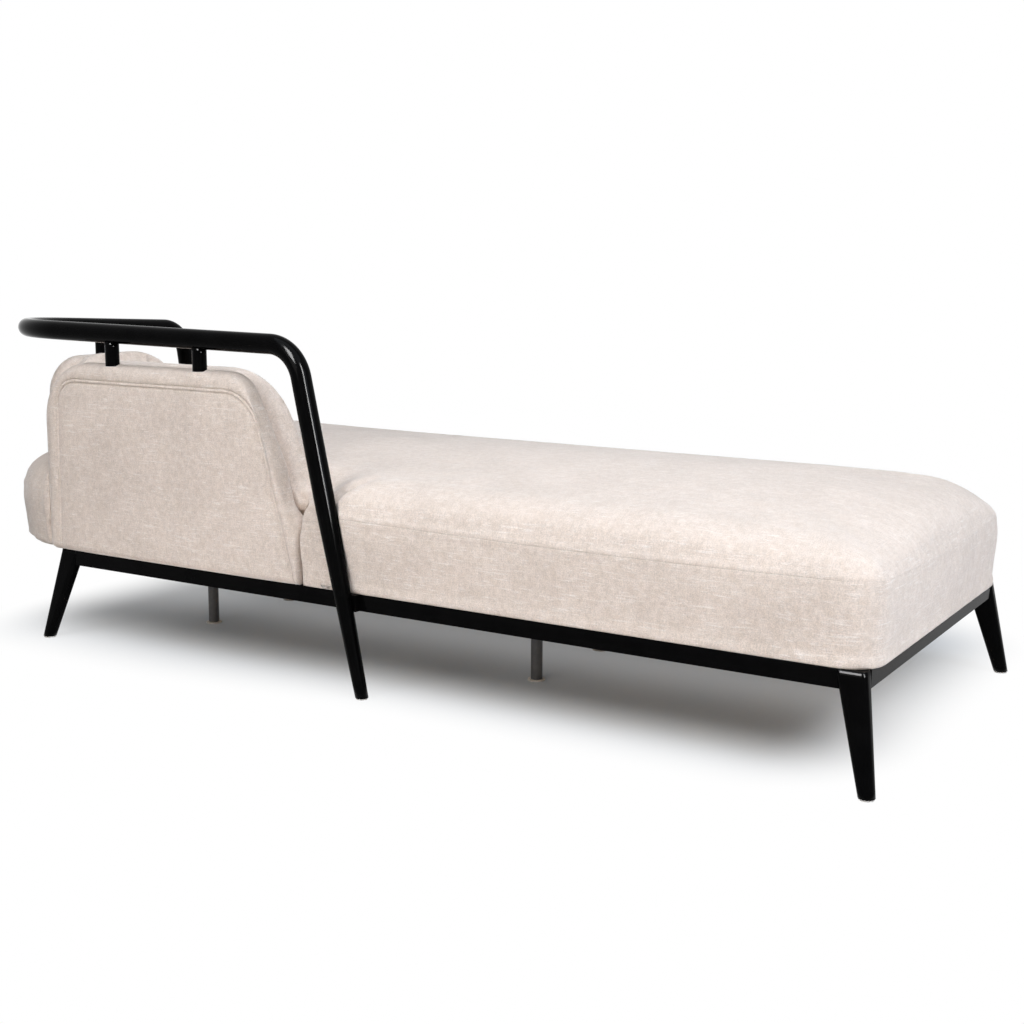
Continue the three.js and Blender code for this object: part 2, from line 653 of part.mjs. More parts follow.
// Pads in front of the shells, shaped below to the crown of the seat
const padBottomZ = seamZ - padBuriedDepth;
const nearPadCorners = panelCorners(nearShellHeadX + padHeadInset, nearShellFootX + padFootReach,
  nearShellTopZ + nearPadRise, nearPadHeadRadius, nearPadFootRadius, padBottomZ, padEdgeRounding);
const headPadCorners = panelCorners(-headShellNearY - padHeadInset, -headShellFarY - headPadFarReach,
  headShellTopZ + headPadRise, headPadNearRadius, headPadFarRadius, padBottomZ, padEdgeRounding);
const pads = {
  near_back_pad: [nearPadCorners, planeMatrix(nearPlane, 0, nearShellY + fitGap)],
  head_back_pad: [headPadCorners, planeMatrix(headPlane, headShellX + fitGap, 0)],
};
const flip = new THREE.Matrix4().makeScale(1, 1, -1);
const seatLifted = toSolid(loft(seatRings)).translate([0, 0, fitGap]);
Object.entries(pads).forEach(([name, [corners, matrix]]) => {
  const body = slab(corners, padThickness, padEdgeRounding, shellInnerRounding, padCrown, shellBorderWidth,
    shellInnerRounding);
  const mirrored = body.applyMatrix4(flip);
  const order = mirrored.index.array;
  for (let i = 0; i < order.length; i += 3) {
    const kept = order[i];
    order[i] = order[i + 1];
    order[i + 1] = kept;
  }
  addPiece(name, toGeometry(toSolid(mirrored, matrix).subtract(seatLifted)), linen);
});

// The object's origin is the middle of its box on the floor
const bounds = new THREE.Box3().setFromObject(chaise);
const middle = bounds.getCenter(new THREE.Vector3());
chaise.position.set(-middle.x, -middle.y, -bounds.min.z);

const root = new THREE.Group();
root.name = 'chaise_longue';
root.add(chaise);
root.updateMatrixWorld(true);

export default root;
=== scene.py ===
"""Looks of the chaise longue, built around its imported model.

Metres, +Z up. The head end with its two back panels is at -X, the foot end at +X, and the near side at -Y.
Sizes and places of the object are in millimetres in the plan of its frame, and place() turns them into the
model's metres. Lamps and the numbers inside materials are in metres.
"""
import math

import bmesh
import bpy
import numpy as np
from mathutils import Matrix, Vector
from mathutils.bvhtree import BVHTree


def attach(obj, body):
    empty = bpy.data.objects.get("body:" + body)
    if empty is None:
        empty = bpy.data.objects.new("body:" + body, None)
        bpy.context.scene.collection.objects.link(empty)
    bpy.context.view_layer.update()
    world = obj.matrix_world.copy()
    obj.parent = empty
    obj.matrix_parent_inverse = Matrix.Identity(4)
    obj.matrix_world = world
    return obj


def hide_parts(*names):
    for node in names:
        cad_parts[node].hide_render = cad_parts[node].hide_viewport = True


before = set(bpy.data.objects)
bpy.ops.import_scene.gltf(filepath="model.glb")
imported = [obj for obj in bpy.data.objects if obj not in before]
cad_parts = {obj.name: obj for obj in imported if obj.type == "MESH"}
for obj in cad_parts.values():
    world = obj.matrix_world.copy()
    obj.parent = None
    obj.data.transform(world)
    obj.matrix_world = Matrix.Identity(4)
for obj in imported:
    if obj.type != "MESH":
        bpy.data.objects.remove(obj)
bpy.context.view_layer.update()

MM = 0.001
# the plan has its origin in the middle of the frame, the model in the middle of the whole part
PLAN_SHIFT = 145.34
GLIDE_TOP = 3.0

# Frame and seat
HALF_LENGTH, HALF_WIDTH, RAIL_TOP = 927.5, 405.5, 200.0
SEAT_HEAD, SEAT_FOOT = -1199.0, 939.5
LOBE_RADIUS, CORNER_RADIUS = 255.0, 62.0
BOXING_HEIGHT = 164.0
SHOULDER_WIDTH, FOOT_SHOULDER_WIDTH = 90.0, 150.0
SHOULDER_HEIGHT, CROWN_HEIGHT = 58.0, 12.0
WALL_BULGE = 7.0
CROWN_MARGIN = 22.0
SEAT_EDGE_STEPS, SEAT_ARC_STEPS, SEAT_LEAST_RADIUS = [110, 42, 110, 22], 22, 12.0
DECK_TOP = RAIL_TOP + 12.8
DECK_HEAD, DECK_FOOT, DECK_SIDE_MARGIN = -1114.0, 904.0, 24.0

# Droop of the seat's top at its corners: depth, and the reach over which it fades
DROOP_REACH, NEAR_DROOP, FAR_DROOP = 420.0, 18.0, 6.0
FAR_CORNER_DROOP, FAR_CORNER_REACH = 16.0, (20.0, 190.0)
LOBE_DROOP, LOBE_DROOP_REACH = 28.0, 620.0
# beside the near panel's foot edge the cover is pulled down: depth, and where it starts and ends
PULL_DEPTH = 42.0
PULL_START_X, PULL_END_X, PULL_Y, PULL_Z = (-420.0, -260.0), (-226.0, -140.0), (-372.0, -270.0), (270.0, 352.0)
# crease on the top where the near pad presses the seat: x, y and share of the depth
CREASE_DEPTH, CREASE_WIDTH = 19.0, 14.0
CREASE = [(-172, -402, 0.8), (-163, -387, 1.0), (-152, -373, 1.0), (-140, -360, 0.85), (-130, -346, 0.6),
          (-117, -325, 0.25), (-104, -303, 0.0)]

# Back panels: each outline lies in its own plane, upright on one side and leaning above a knee on the other
NEAR_PLANE_Y, HEAD_PLANE_X = -357.8, -1158.3
PANEL_FOOT, PAD_FOOT = 170.0, 334.0
LEAN_PER_RISE = 0.448
KNEE_HEIGHT, KNEE_RADIUS = 350.0, 60.0
SHELL_THICKNESS, SHELL_INNER_ROUNDING = 55.0, 28.0
PAD_THICKNESS, PAD_ROUNDING, PAD_BACK_ROUNDING, PAD_SEAM_DEPTH = 76.0, 26.0, 36.0, 50.0

# Handrail, from the near foot round the head corner to the head foot
TUBE_RADIUS, TUBE_FOOT_RADIUS, TAPER_LENGTH = 20.5, 12.5, 405.0
NEAR_FOOT, NEAR_TOP = (-64.5, -433.4, GLIDE_TOP), (-245.5, -395.8, 678.3)
HEAD_CORNER = (-1188.2, -395.8, 690.47)
HEAD_TOP, HEAD_FOOT = (-1188.2, 265.4, 657.41), (-1238.2, 420.0, GLIDE_TOP)
ELBOW_RADIUS, CORNER_BEND_RADIUS = 85.0, 280.0
POST_RADIUS, POST_CLEARANCE = 15.0, 0.3
NEAR_POSTS_X, HEAD_POST_Y = (-750.0, -499.0), -17.0
NEAR_POST_FOOT, HEAD_POST_FOOT = 596.2, 580.2
NEAR_POST_COVER, HEAD_POST_COVER = 616.0, 602.5

# Corner legs: centre and half sizes at the foot and at the rail's top
LEG_FOOT_CENTRE, LEG_TOP_CENTRE = (946.2, 432.5), (900.5, 391.5)
LEG_FOOT_HALF, LEG_TOP_HALF = (14.2, 14.2), (27.0, 14.0)
LEG_FOOT_ROUNDING, LEG_TOP_ROUNDING = 13.6, 9.0
LEG_ROWS = 22


def place(points):
    """Plan millimetres to metres in the model's frame."""
    out = np.array(points, dtype=float)
    out[:, 0] += PLAN_SHIFT
    return out * MM


def to_plan(points):
    """Metres in the model's frame to plan millimetres."""
    return points / MM - np.array([PLAN_SHIFT, 0, 0])


def smooth(x, low, high):
    """0 below low, 1 above high, and an even slope between them."""
    t = np.clip((np.asarray(x, dtype=float) - low) / (high - low), 0, 1)
    return t * t * (3 - 2 * t)


def bell(x, width):
    return np.exp(-(x / width) ** 2)


def quarter(count):
    """Angles of a quarter turn in even steps."""
    return np.linspace(0, 1, count) * math.pi / 2


# Camera, at the photograph's angle
CAMERA_PLACE = (1642.8, -2653.9, 864.8)
CAMERA_YAW, CAMERA_PITCH, CAMERA_ROLL = math.radians(-31.579), math.radians(10.038), math.radians(0.25)
FOCAL_PIXELS, IMAGE_PIXELS, SENSOR_WIDTH = 1481.7, 1024, 36


def make_camera():
    camera = bpy.data.cameras.new("camera")
    thing = bpy.data.objects.new("camera", camera)
    bpy.context.scene.collection.objects.link(thing)
    level = math.cos(CAMERA_PITCH)
    look = Vector((math.sin(CAMERA_YAW) * level, math.cos(CAMERA_YAW) * level, -math.sin(CAMERA_PITCH)))
    right = Vector((math.cos(CAMERA_YAW), -math.sin(CAMERA_YAW), 0))
    up = right.cross(look)
    rolled_right = right * math.cos(CAMERA_ROLL) + up * math.sin(CAMERA_ROLL)
    rolled_up = up * math.cos(CAMERA_ROLL) - right * math.sin(CAMERA_ROLL)
    basis = Matrix((rolled_right, rolled_up, -look)).transposed()
    thing.matrix_world = Matrix.Translation(place([CAMERA_PLACE])[0]) @ basis.to_4x4()
    camera.sensor_width = SENSOR_WIDTH
    camera.sensor_fit = "HORIZONTAL"
    camera.lens = SENSOR_WIDTH * FOCAL_PIXELS / IMAGE_PIXELS
    camera.clip_end = 100
    bpy.context.scene.camera = thing


make_camera()


class Tree:
    """The emptied node tree of a material or world, filled by short calls."""
    def __init__(self, owner, output="ShaderNodeOutputMaterial"):
        owner.use_nodes = True
        self.owner = owner
        self.nodes = owner.node_tree.nodes
        self.links = owner.node_tree.links
        self.nodes.clear()
        self.out = self.nodes.new(output)

    def node(self, kind, values=None, **attributes):
        made = self.nodes.new(kind)
        for key, value in attributes.items():
            setattr(made, key, value)
        for key, value in (values or {}).items():
            socket = made.inputs[key]
            if isinstance(value, bpy.types.NodeSocket):
                self.links.new(value, socket)
            else:
                socket.default_value = value
        return made

    def math(self, operation, a, b=0.0, clamp=False):
        return self.node("ShaderNodeMath", {0: a, 1: b}, operation=operation, use_clamp=clamp).outputs[0]

    def add(self, a, b):
        return self.math("ADD", a, b)

    def times(self, a, b):
        return self.math("MULTIPLY", a, b)

    def minus(self, a, b):
        return self.math("SUBTRACT", a, b)

    def noise(self, vector, scale, detail=2.0, rough=0.5):
        values = {"Vector": vector, "Scale": scale, "Detail": detail, "Roughness": rough}
        return self.node("ShaderNodeTexNoise", values).outputs["Fac"]

    def remap(self, value, a, b, low=0.0, high=1.0):
        values = {"Value": value, "From Min": a, "From Max": b, "To Min": low, "To Max": high}
        return self.node("ShaderNodeMapRange", values, interpolation_type="SMOOTHSTEP").outputs["Result"]

    def mix(self, factor, a, b, blend="MIX"):
        made = self.node("ShaderNodeMix", {0: factor, 6: a, 7: b}, data_type="RGBA", blend_type=blend)
        return made.outputs[2]

    def vector(self, x, y, z):
        return self.node("ShaderNodeCombineXYZ", {0: x, 1: y, 2: z}).outputs[0]

    def position(self):
        return self.node("ShaderNodeTexCoord").outputs["Object"]

    def scaled(self, vector, scale):
        return self.node("ShaderNodeMapping", {"Vector": vector, "Scale": scale}).outputs[0]

    def bump(self, height, strength, distance, **others):
        values = {"Height": height, "Strength": strength, "Distance": distance, **others}
        return self.node("ShaderNodeBump", values).outputs[0]

    def seen(self):
        """1 for camera, glossy and transmission rays, which see the studio as white."""
        path = self.node("ShaderNodeLightPath").outputs
        two = self.math("ADD", path["Is Camera Ray"], path["Is Glossy Ray"], True)
        return self.math("ADD", two, path["Is Transmission Ray"], True)

    def finish(self, shader):
        self.links.new(shader.outputs[0], self.out.inputs[0])
        return self.owner

    def principled(self, **values):
        named = {key.replace("_", " "): value for key, value in values.items()}
        return self.finish(self.node("ShaderNodeBsdfPrincipled", named))


def material_tree(name):
    return Tree(bpy.data.materials.new(name))


def rgb(r, g, b):
    return (r, g, b, 1.0)


def linen_material():
    """Slubby linen: pale slubs along the weft, fine grain of crossing threads, soft mottling."""
    base, light, dark = rgb(0.74, 0.635, 0.555), rgb(0.88, 0.82, 0.77), rgb(0.66, 0.55, 0.465)
    stitch_groove_shade_colour = rgb(0.396, 0.33, 0.279)
    t = material_tree("linen_look")
    position = t.position()
    xyz = t.node("ShaderNodeSeparateXYZ", {0: position}).outputs
    normal = t.node("ShaderNodeSeparateXYZ", {0: t.node("ShaderNodeNewGeometry").outputs["Normal"]}).outputs
    weights = [t.math("POWER", t.math("ABSOLUTE", normal[axis]), 4.0) for axis in range(3)]
    total = t.add(t.add(weights[0], weights[1]), weights[2])
    weights = [t.math("DIVIDE", w, total) for w in weights]
    # weft and warp directions of the cloth, and a seed, for faces that look along X, Y and Z
    planes = [(xyz[1], xyz[2], 11.3), (xyz[0], xyz[2], 23.7), (xyz[0], xyz[1], 37.1)]

    def layered(scale_u, scale_v, detail, rough, offset=0.0):
        parts = []
        for weight, (u, v, seed) in zip(weights, planes):
            coordinates = t.vector(t.times(u, scale_u), t.times(v, scale_v), seed + offset)
            parts.append(t.times(t.noise(coordinates, 1.0, detail, rough), weight))
        return t.add(t.add(parts[0], parts[1]), parts[2])

    slub = layered(42.0, 380.0, 2.0, 0.55)
    long_slub = layered(17.0, 300.0, 1.0, 0.5, 5.0)
    warp = layered(380.0, 70.0, 1.0, 0.5, 9.0)
    grain = layered(520.0, 520.0, 2.0, 0.7, 14.0)
    mottle = t.noise(position, 75.0, 3.0, 0.6)
    cloud = t.noise(position, 9.0, 3.0, 0.55)
    patch = t.noise(position, 48.0, 2.0, 0.6)

    slub_mask = t.times(t.remap(slub, 0.50, 0.74), t.remap(patch, 0.36, 0.66))
    long_mask = t.times(t.remap(long_slub, 0.58, 0.76), t.remap(cloud, 0.35, 0.62))
    colour = t.mix(t.remap(mottle, 0.25, 0.75), dark, base)
    colour = t.mix(t.times(slub_mask, 0.6), colour, light)
    colour = t.mix(t.times(long_mask, 0.5), colour, light)
    fine = t.add(t.times(t.minus(grain, 0.5), 0.9), t.times(t.minus(warp, 0.5), 0.2))
    fine = t.add(fine, t.times(t.minus(cloud, 0.5), 0.24))
    shade = t.add(fine, 1.0)
    colour = t.mix(1.0, colour, t.vector(shade, shade, shade), "MULTIPLY")
    height = t.add(t.times(grain, 0.6), t.times(slub, 0.8))
    height = t.add(height, t.times(warp, 0.4))
    # seam_mm is the distance in millimetres from the sewn line, stored on the mesh
    away = t.math("ABSOLUTE", t.node("ShaderNodeAttribute", attribute_name="seam_mm").outputs["Fac"])
    # along the stitched line the cloth is painted darker, a painted shade of the stitch groove, beside the groove
    # that the bump makes
    line = t.remap(away, 0.2, 1.5, 1.0, 0.0)
    colour = t.mix(t.times(line, 0.2), colour, stitch_groove_shade_colour)
    height = t.minus(height, t.times(line, 2.0))
    return t.principled(
        Base_Color=colour, Roughness=t.remap(grain, 0.2, 0.8, 0.86, 0.98), Normal=t.bump(height, 0.45, 0.0009),
        Sheen_Weight=0.55, Sheen_Roughness=0.5, Sheen_Tint=rgb(1.0, 0.99, 0.98), Specular_IOR_Level=0.0)


def lacquer_material(name, edges):
    """Gloss black lacquer: faint orange peel and wood grain, a few dulled patches, softened edges if asked."""
    t = material_tree(name)
    position = t.position()
    peel = t.noise(position, 260.0)
    waves = t.noise(position, 24.0)
    grain = t.noise(t.scaled(position, (18.0, 240.0, 240.0)), 1.0)
    height = t.add(t.times(peel, 0.25), t.add(waves, t.times(grain, 0.15)))
    others = {"Normal": t.node("ShaderNodeBevel", {"Radius": 0.0009}, samples=6).outputs[0]} if edges else {}
    dull = t.noise(position, 9.0, 4.0, 0.6)
    colour = t.mix(t.remap(waves, 0.3, 0.7), rgb(0.0010, 0.0010, 0.0011), rgb(0.0019, 0.0018, 0.0019))
    # the white studio is mirrored everywhere, so a low specular level keeps the tube black
    return t.principled(Base_Color=colour, Roughness=t.remap(dull, 0.35, 0.7, 0.07, 0.14),
                        Normal=t.bump(height, 0.10, 0.0012, **others), Specular_IOR_Level=0.022)


def plastic_material(name, speck_scale, scuff_scale, scuff_from, clean, scuffed, roughness):
    """Moulded plastic with a fine speck and scuffs."""
    t = material_tree(name)
    position = t.position()
    speck = t.noise(position, speck_scale)
    scuff = t.noise(position, scuff_scale, 4.0, 0.6)
    return t.principled(Base_Color=t.mix(t.remap(scuff, scuff_from, 0.7), clean, scuffed),
                        Roughness=t.remap(scuff, 0.3, 0.7, *roughness), Normal=t.bump(speck, 0.2, 0.0004))


def plywood_material():
    t = material_tree("plywood_look")
    position = t.position()
    bent = t.noise(t.scaled(position, (3.0, 46.0, 46.0)), 1.0, 4.0, 0.6)
    rings = t.math("SINE", t.times(bent, 60.0))
    fibre = t.noise(t.scaled(position, (25.0, 900.0, 900.0)), 1.0)
    tone = t.add(t.times(rings, 0.3), fibre)
    colour = t.mix(t.remap(tone, 0.1, 0.9), rgb(0.47, 0.29, 0.13), rgb(0.62, 0.43, 0.23))
    # ply layers on the cut edge
    height = t.node("ShaderNodeSeparateXYZ", {0: position}).outputs[2]
    layer = t.math("SINE", t.times(height, 2100.0))
    colour = t.mix(t.remap(layer, -0.2, 0.4, 0.0, 0.25), colour, rgb(0.30, 0.17, 0.08))
    return t.principled(Base_Color=colour, Roughness=0.7, Normal=t.bump(fibre, 0.3, 0.0006))


LINEN = linen_material()
LACQUER = lacquer_material("black_lacquer_look", False)
LACQUER_EDGED = lacquer_material("black_lacquer_edged_look", True)
GLIDE_PLASTIC = plastic_material("glide_plastic_look", 600.0, 60.0, 0.4, rgb(0.62, 0.60, 0.57),
                                 rgb(0.50, 0.48, 0.45), (0.42, 0.62))
SUPPORT_PLASTIC = plastic_material("support_plastic_look", 500.0, 45.0, 0.35, rgb(0.060, 0.060, 0.062),
                                   rgb(0.086, 0.086, 0.088), (0.38, 0.55))
PLYWOOD = plywood_material()


# Mesh helpers
def make_object(name, vertices, faces, material=None):
    mesh = bpy.data.meshes.new(name)
    mesh.from_pydata([tuple(v) for v in vertices], [], [tuple(int(i) for i in f) for f in faces])
    mesh.validate()
    mesh.update()
    thing = bpy.data.objects.new(name, mesh)
    bpy.context.scene.collection.objects.link(thing)
    if material:
        mesh.materials.append(material)
    mesh.polygons.foreach_set("use_smooth", [True] * len(mesh.polygons))
    return thing


def flat_ends(thing):
    """The two last faces of a loft, its ends, are shaded flat."""
    for polygon in list(thing.data.polygons)[-2:]:
        polygon.use_smooth = False
    return thing


def points_of(thing):
    out = np.empty(len(thing.data.vertices) * 3)
    thing.data.vertices.foreach_get("co", out)
    return out.reshape(-1, 3)


def normals_of(thing):
    out = np.empty(len(thing.data.vertices) * 3)
    thing.data.vertex_normals.foreach_get("vector", out)
    return out.reshape(-1, 3)


def edges_of(thing):
    out = np.empty(len(thing.data.edges) * 2, dtype=np.int64)
    thing.data.edges.foreach_get("vertices", out)
    return out.reshape(-1, 2)


def set_points(thing, points):
    thing.data.vertices.foreach_set("co", np.ascontiguousarray(points, dtype=np.float32).ravel())
    thing.data.update()


def apply_modifiers(thing):
    graph = bpy.context.evaluated_depsgraph_get()
    mesh = bpy.data.meshes.new_from_object(thing.evaluated_get(graph))
    old = thing.data
    thing.modifiers.clear()
    thing.data = mesh
    bpy.data.meshes.remove(old)


def outline(corners, inset, arc_steps, edge_steps, least):
    """Outline with rounded corners, moved inwards by one inset or by one for each edge.
    Corners are (x, y, radius), counter-clockwise; a corner that turns the other way is rounded inwards."""
    count = len(corners)
    insets = list(inset) if hasattr(inset, "__len__") else [inset] * count
    lines = []
    for i, corner in enumerate(corners):
        following = corners[(i + 1) % count]
        along = np.array([following[0] - corner[0], following[1] - corner[1]], dtype=float)
        along /= np.linalg.norm(along)
        inward = np.array([-along[1], along[0]])
        lines.append((along, inward, np.array(corner[:2], dtype=float) + inward * insets[i]))
    arcs = []
    for i, corner in enumerate(corners):
        before, after = lines[i - 1], lines[i]
        cross = before[0][0] * after[0][1] - before[0][1] * after[0][0]
        gap = after[2] - before[2]
        reach = (gap[0] * after[0][1] - gap[1] * after[0][0]) / cross
        tip = before[2] + before[0] * reach
        turn = math.atan2(cross, float(before[0] @ after[0]))
        nearest = min(insets[i], insets[i - 1]) if turn > 0 else -max(insets[i], insets[i - 1])
        radius = max(corner[2] - nearest, least)
        start = tip - before[0] * radius * math.tan(abs(turn) * 0.5)
        side = 1.0 if turn > 0 else -1.0
        centre = start + before[1] * radius * side
        spoke = -before[1] * side
        arc = []
        for k in range(arc_steps + 1):
            angle = turn * k / arc_steps
            c, s = math.cos(angle), math.sin(angle)
            arc.append(centre + radius * np.array([spoke[0] * c - spoke[1] * s, spoke[0] * s + spoke[1] * c]))
        arcs.append(arc)
    points = []
    for i, arc in enumerate(arcs):
        points.extend(arc)
        following = arcs[(i + 1) % count][0]
        for k in range(1, edge_steps[i]):
            points.append(arc[-1] + (following - arc[-1]) * k / edge_steps[i])
    return np.array(points)


def edge_counts(corners, spacing):
    steps = []
    for i, corner in enumerate(corners):
        following = corners[(i + 1) % len(corners)]
        length = math.hypot(following[0] - corner[0], following[1] - corner[1])
        steps.append(max(2, int(round(length / spacing))))
    return steps


def at_level(flat, z):
    """A flat outline at one height, or depth, above its plane."""
    return np.column_stack([flat, np.full(len(flat), z)])


def loft(name, rings, material=None, turned=False):
    """A closed body through rings of plan points, turned inside out if asked."""
    count = len(rings[0])
    faces = []
    for j in range(len(rings) - 1):
        for i in range(count):
            n = (i + 1) % count
            faces.append((j * count + i, j * count + n, (j + 1) * count + n, (j + 1) * count + i))
    faces.append(tuple(range(count))[::-1])
    faces.append(tuple((len(rings) - 1) * count + i for i in range(count)))
    if turned:
        faces = [tuple(reversed(face)) for face in faces]
    return make_object(name, place(np.vstack(rings)), faces, material)


def boolean(thing, other):
    """Cuts the other body away, and removes it."""
    modifier = thing.modifiers.new("cut", "BOOLEAN")
    modifier.operation = "DIFFERENCE"
    modifier.solver = "EXACT"
    modifier.object = other
    apply_modifiers(thing)
    bpy.data.objects.remove(other)


def remesh(thing, size):
    modifier = thing.modifiers.new("remesh", "REMESH")
    modifier.mode = "VOXEL"
    modifier.voxel_size = size
    apply_modifiers(thing)


def subdivide(thing):
    modifier = thing.modifiers.new("subdivision", "SUBSURF")
    modifier.levels = 1
    modifier.render_levels = 1
    apply_modifiers(thing)


def relax(points, edges, rounds=2, factor=0.5):
    """Plain smoothing of points along the mesh's edges."""
    degree = np.bincount(edges.ravel(), minlength=len(points)).astype(float)[:, None]
    for _ in range(rounds):
        total = np.zeros_like(points)
        np.add.at(total, edges[:, 0], points[edges[:, 1]])
        np.add.at(total, edges[:, 1], points[edges[:, 0]])
        points = points + (total / degree - points) * factor
    return points


# Sewn cloth under inner pressure. SWELLING is the mean way in metres that the free points move.
CLOTH_FRAMES, CLOTH_PRESSURE, CLOTH_STIFFNESS = 20, 4.0, 15.0
SWELLING = 0.0035


def inflate(thing, pins, cap):
    """Swells a body as cloth, then lets each point keep at most the cap."""
    start = points_of(thing)
    group = thing.vertex_groups.new(name="held")
    levels = np.round(pins, 1)
    for level in np.unique(levels):
        if level > 0:
            group.add([int(i) for i in np.nonzero(levels == level)[0]], float(level), "REPLACE")
    cloth = thing.modifiers.new("cloth", "CLOTH")
    settings = cloth.settings
    settings.quality = 4
    settings.mass = 0.3
    settings.tension_stiffness = CLOTH_STIFFNESS
    settings.compression_stiffness = CLOTH_STIFFNESS
    settings.shear_stiffness = 5.0
    settings.bending_stiffness = 0.6
    settings.use_pressure = True
    settings.uniform_pressure_force = CLOTH_PRESSURE
    settings.vertex_group_mass = "held"
    settings.effector_weights.gravity = 0.0
    cloth.collision_settings.use_collision = False
    cloth.point_cache.frame_start = 1
    cloth.point_cache.frame_end = CLOTH_FRAMES
    scene = bpy.context.scene
    for step in range(1, CLOTH_FRAMES + 1):
        scene.frame_set(step)
    apply_modifiers(thing)
    scene.frame_set(1)
    thing.vertex_groups.clear()
    moved = points_of(thing) - start
    length = np.linalg.norm(moved, axis=1)
    scale = SWELLING / max(length[pins < 0.5].mean(), 1e-6)
    moved *= scale
    length *= scale
    moved *= np.minimum(1, cap / np.maximum(length, 1e-9))[:, None]
    set_points(thing, start + moved)


# Stored as the distance from the sewn line, in millimetres, where there is no sewn line
NO_SEAM = 50.0


def store_seam(thing, distance):
    attribute = thing.data.attributes.new("seam_mm", "FLOAT", "POINT")
    attribute.data.foreach_set("value", np.asarray(distance, dtype=np.float32))


def finish_soft(thing):
    thing.data.materials.clear()
    thing.data.materials.append(LINEN)
    thing.data.polygons.foreach_set("use_smooth", [True] * len(thing.data.polygons))
    thing.data.update()


# Back panels: the planes they stand in, and their outlines
class BackPlane:
    """The upright plane of a back panel. Points in it are given along the panel, up, and away from the seat."""
    def __init__(self, origin, along, away):
        self.origin = np.array(origin)
        self.along = np.array(along)
        self.away = np.array(away)

    def out(self, points):
        """Points of the plane as plan points."""
        level = points[:, :1] * self.along + points[:, 2:] * self.away + self.origin
        return level + points[:, 1:2] * np.array([0.0, 0.0, 1.0])

    def front(self, plan):
        """Distance of plan points in front of the plane, on the side of the seat."""
        return (self.origin - plan) @ self.away

    def flat(self, plan):
        return np.column_stack([plan @ self.along, plan[:, 2]])


NEAR = BackPlane((0.0, NEAR_PLANE_Y, 0.0), (1.0, 0.0, 0.0), (0.0, -1.0, 0.0))
HEAD = BackPlane((HEAD_PLANE_X, 0.0, 0.0), (0.0, -1.0, 0.0), (-1.0, 0.0, 0.0))


def panel_corners(upright, leaning, top_z, upright_radius, leaning_radius, foot_z, foot_radius):
    """Corners of a panel with one upright edge and one that leans inwards above the knee."""
    top = leaning - LEAN_PER_RISE * math.copysign(1, leaning - upright) * (top_z - KNEE_HEIGHT)
    corners = [(upright, foot_z, foot_radius), (leaning, foot_z, foot_radius),
               (leaning, KNEE_HEIGHT, KNEE_RADIUS), (top, top_z, leaning_radius),
               (upright, top_z, upright_radius)]
    return corners if leaning > upright else corners[::-1]


NEAR_NOTCH = panel_corners(-961, -237, 620, 141, 85, PANEL_FOOT, 20)
HEAD_SHELL = panel_corners(181, -245, 604, 90, 170, PANEL_FOOT, 20)
HEAD_SEAM = panel_corners(141, -205, 563, 56, 128, PANEL_FOOT, 8)
NEAR_PAD = panel_corners(-947, -253, 622, 130, 170, PAD_FOOT, 26)
HEAD_PAD = panel_corners(167, -247, 613, 70, 188, PAD_FOOT, 26)
# the near shell's leaning edge is stepped above the knee, where the pad's corner swells
NEAR_SHELL = [(-965, PANEL_FOOT, 20), (-240, PANEL_FOOT, 20), (-240, 326, 40), (-272, 358, 50),
              (-292, 440, 150), (-380, 620, 74), (-965, 620, 141)]
NEAR_SEAM = [(-919.5, PANEL_FOOT, 8), (-242.5, PANEL_FOOT, 8), (-262, 255, 60), (-289, 349, 300),
             (-302, 395, 300), (-354, 580.5, 92), (-908.5, 580.5, 56)]


# Seat cushion: the same broad form as its solid, in finer rings
SEAT_CORNERS = [(SEAT_HEAD, -HALF_WIDTH, LOBE_RADIUS), (SEAT_FOOT, -HALF_WIDTH, CORNER_RADIUS),
                (SEAT_FOOT, HALF_WIDTH, CORNER_RADIUS), (SEAT_HEAD, HALF_WIDTH, CORNER_RADIUS)]
SEAT_SEAM = RAIL_TOP + BOXING_HEIGHT


def seat_ring(side_inset, head_inset, side_z, head_z, foot_inset=None):
    """One ring round the cushion. Beyond the frame's head end it takes the head's inset and height."""
    foot = side_inset if foot_inset is None else foot_inset

    def line(inset):
        return outline(SEAT_CORNERS, inset, SEAT_ARC_STEPS, SEAT_EDGE_STEPS, SEAT_LEAST_RADIUS)

    side = line([side_inset, foot, side_inset, side_inset])
    share = smooth(-side[:, 0], HALF_LENGTH - 90, HALF_LENGTH)[:, None]
    mixed = side * (1 - share) + line(head_inset) * share
    to_corner = np.hypot(SEAT_FOOT - side[:, 0], HALF_WIDTH - np.abs(side[:, 1]))
    to_lobe = np.hypot(side[:, 0] - SEAT_HEAD, side[:, 1] + HALF_WIDTH)
    near_droop = NEAR_DROOP * (1 - smooth(to_corner, 0, DROOP_REACH))
    far_droop = FAR_DROOP * (1 - smooth(to_corner, 0, DROOP_REACH))
    far_droop = far_droop + FAR_CORNER_DROOP * (1 - smooth(to_corner, *FAR_CORNER_REACH))
    droop = np.where(side[:, 1] > 0, far_droop, near_droop)
    droop = droop + LOBE_DROOP * (1 - smooth(to_lobe, 0, LOBE_DROOP_REACH))
    rise = min((max(side_z - RAIL_TOP, 0) / BOXING_HEIGHT) ** 2, 1)
    z = side_z + (head_z - side_z) * share[:, 0] - droop * rise
    pulled = smooth(mixed[:, 0], *PULL_START_X) * (1 - smooth(mixed[:, 0], *PULL_END_X))
    pulled = pulled * (1 - smooth(mixed[:, 1], *PULL_Y))
    return np.column_stack([mixed, z - PULL_DEPTH * pulled * smooth(z, *PULL_Z)])


# Shares of the boxing's height: where its bulge starts, and where it is widest
BULGE_START, BULGE_WIDEST = 0.27, 0.69


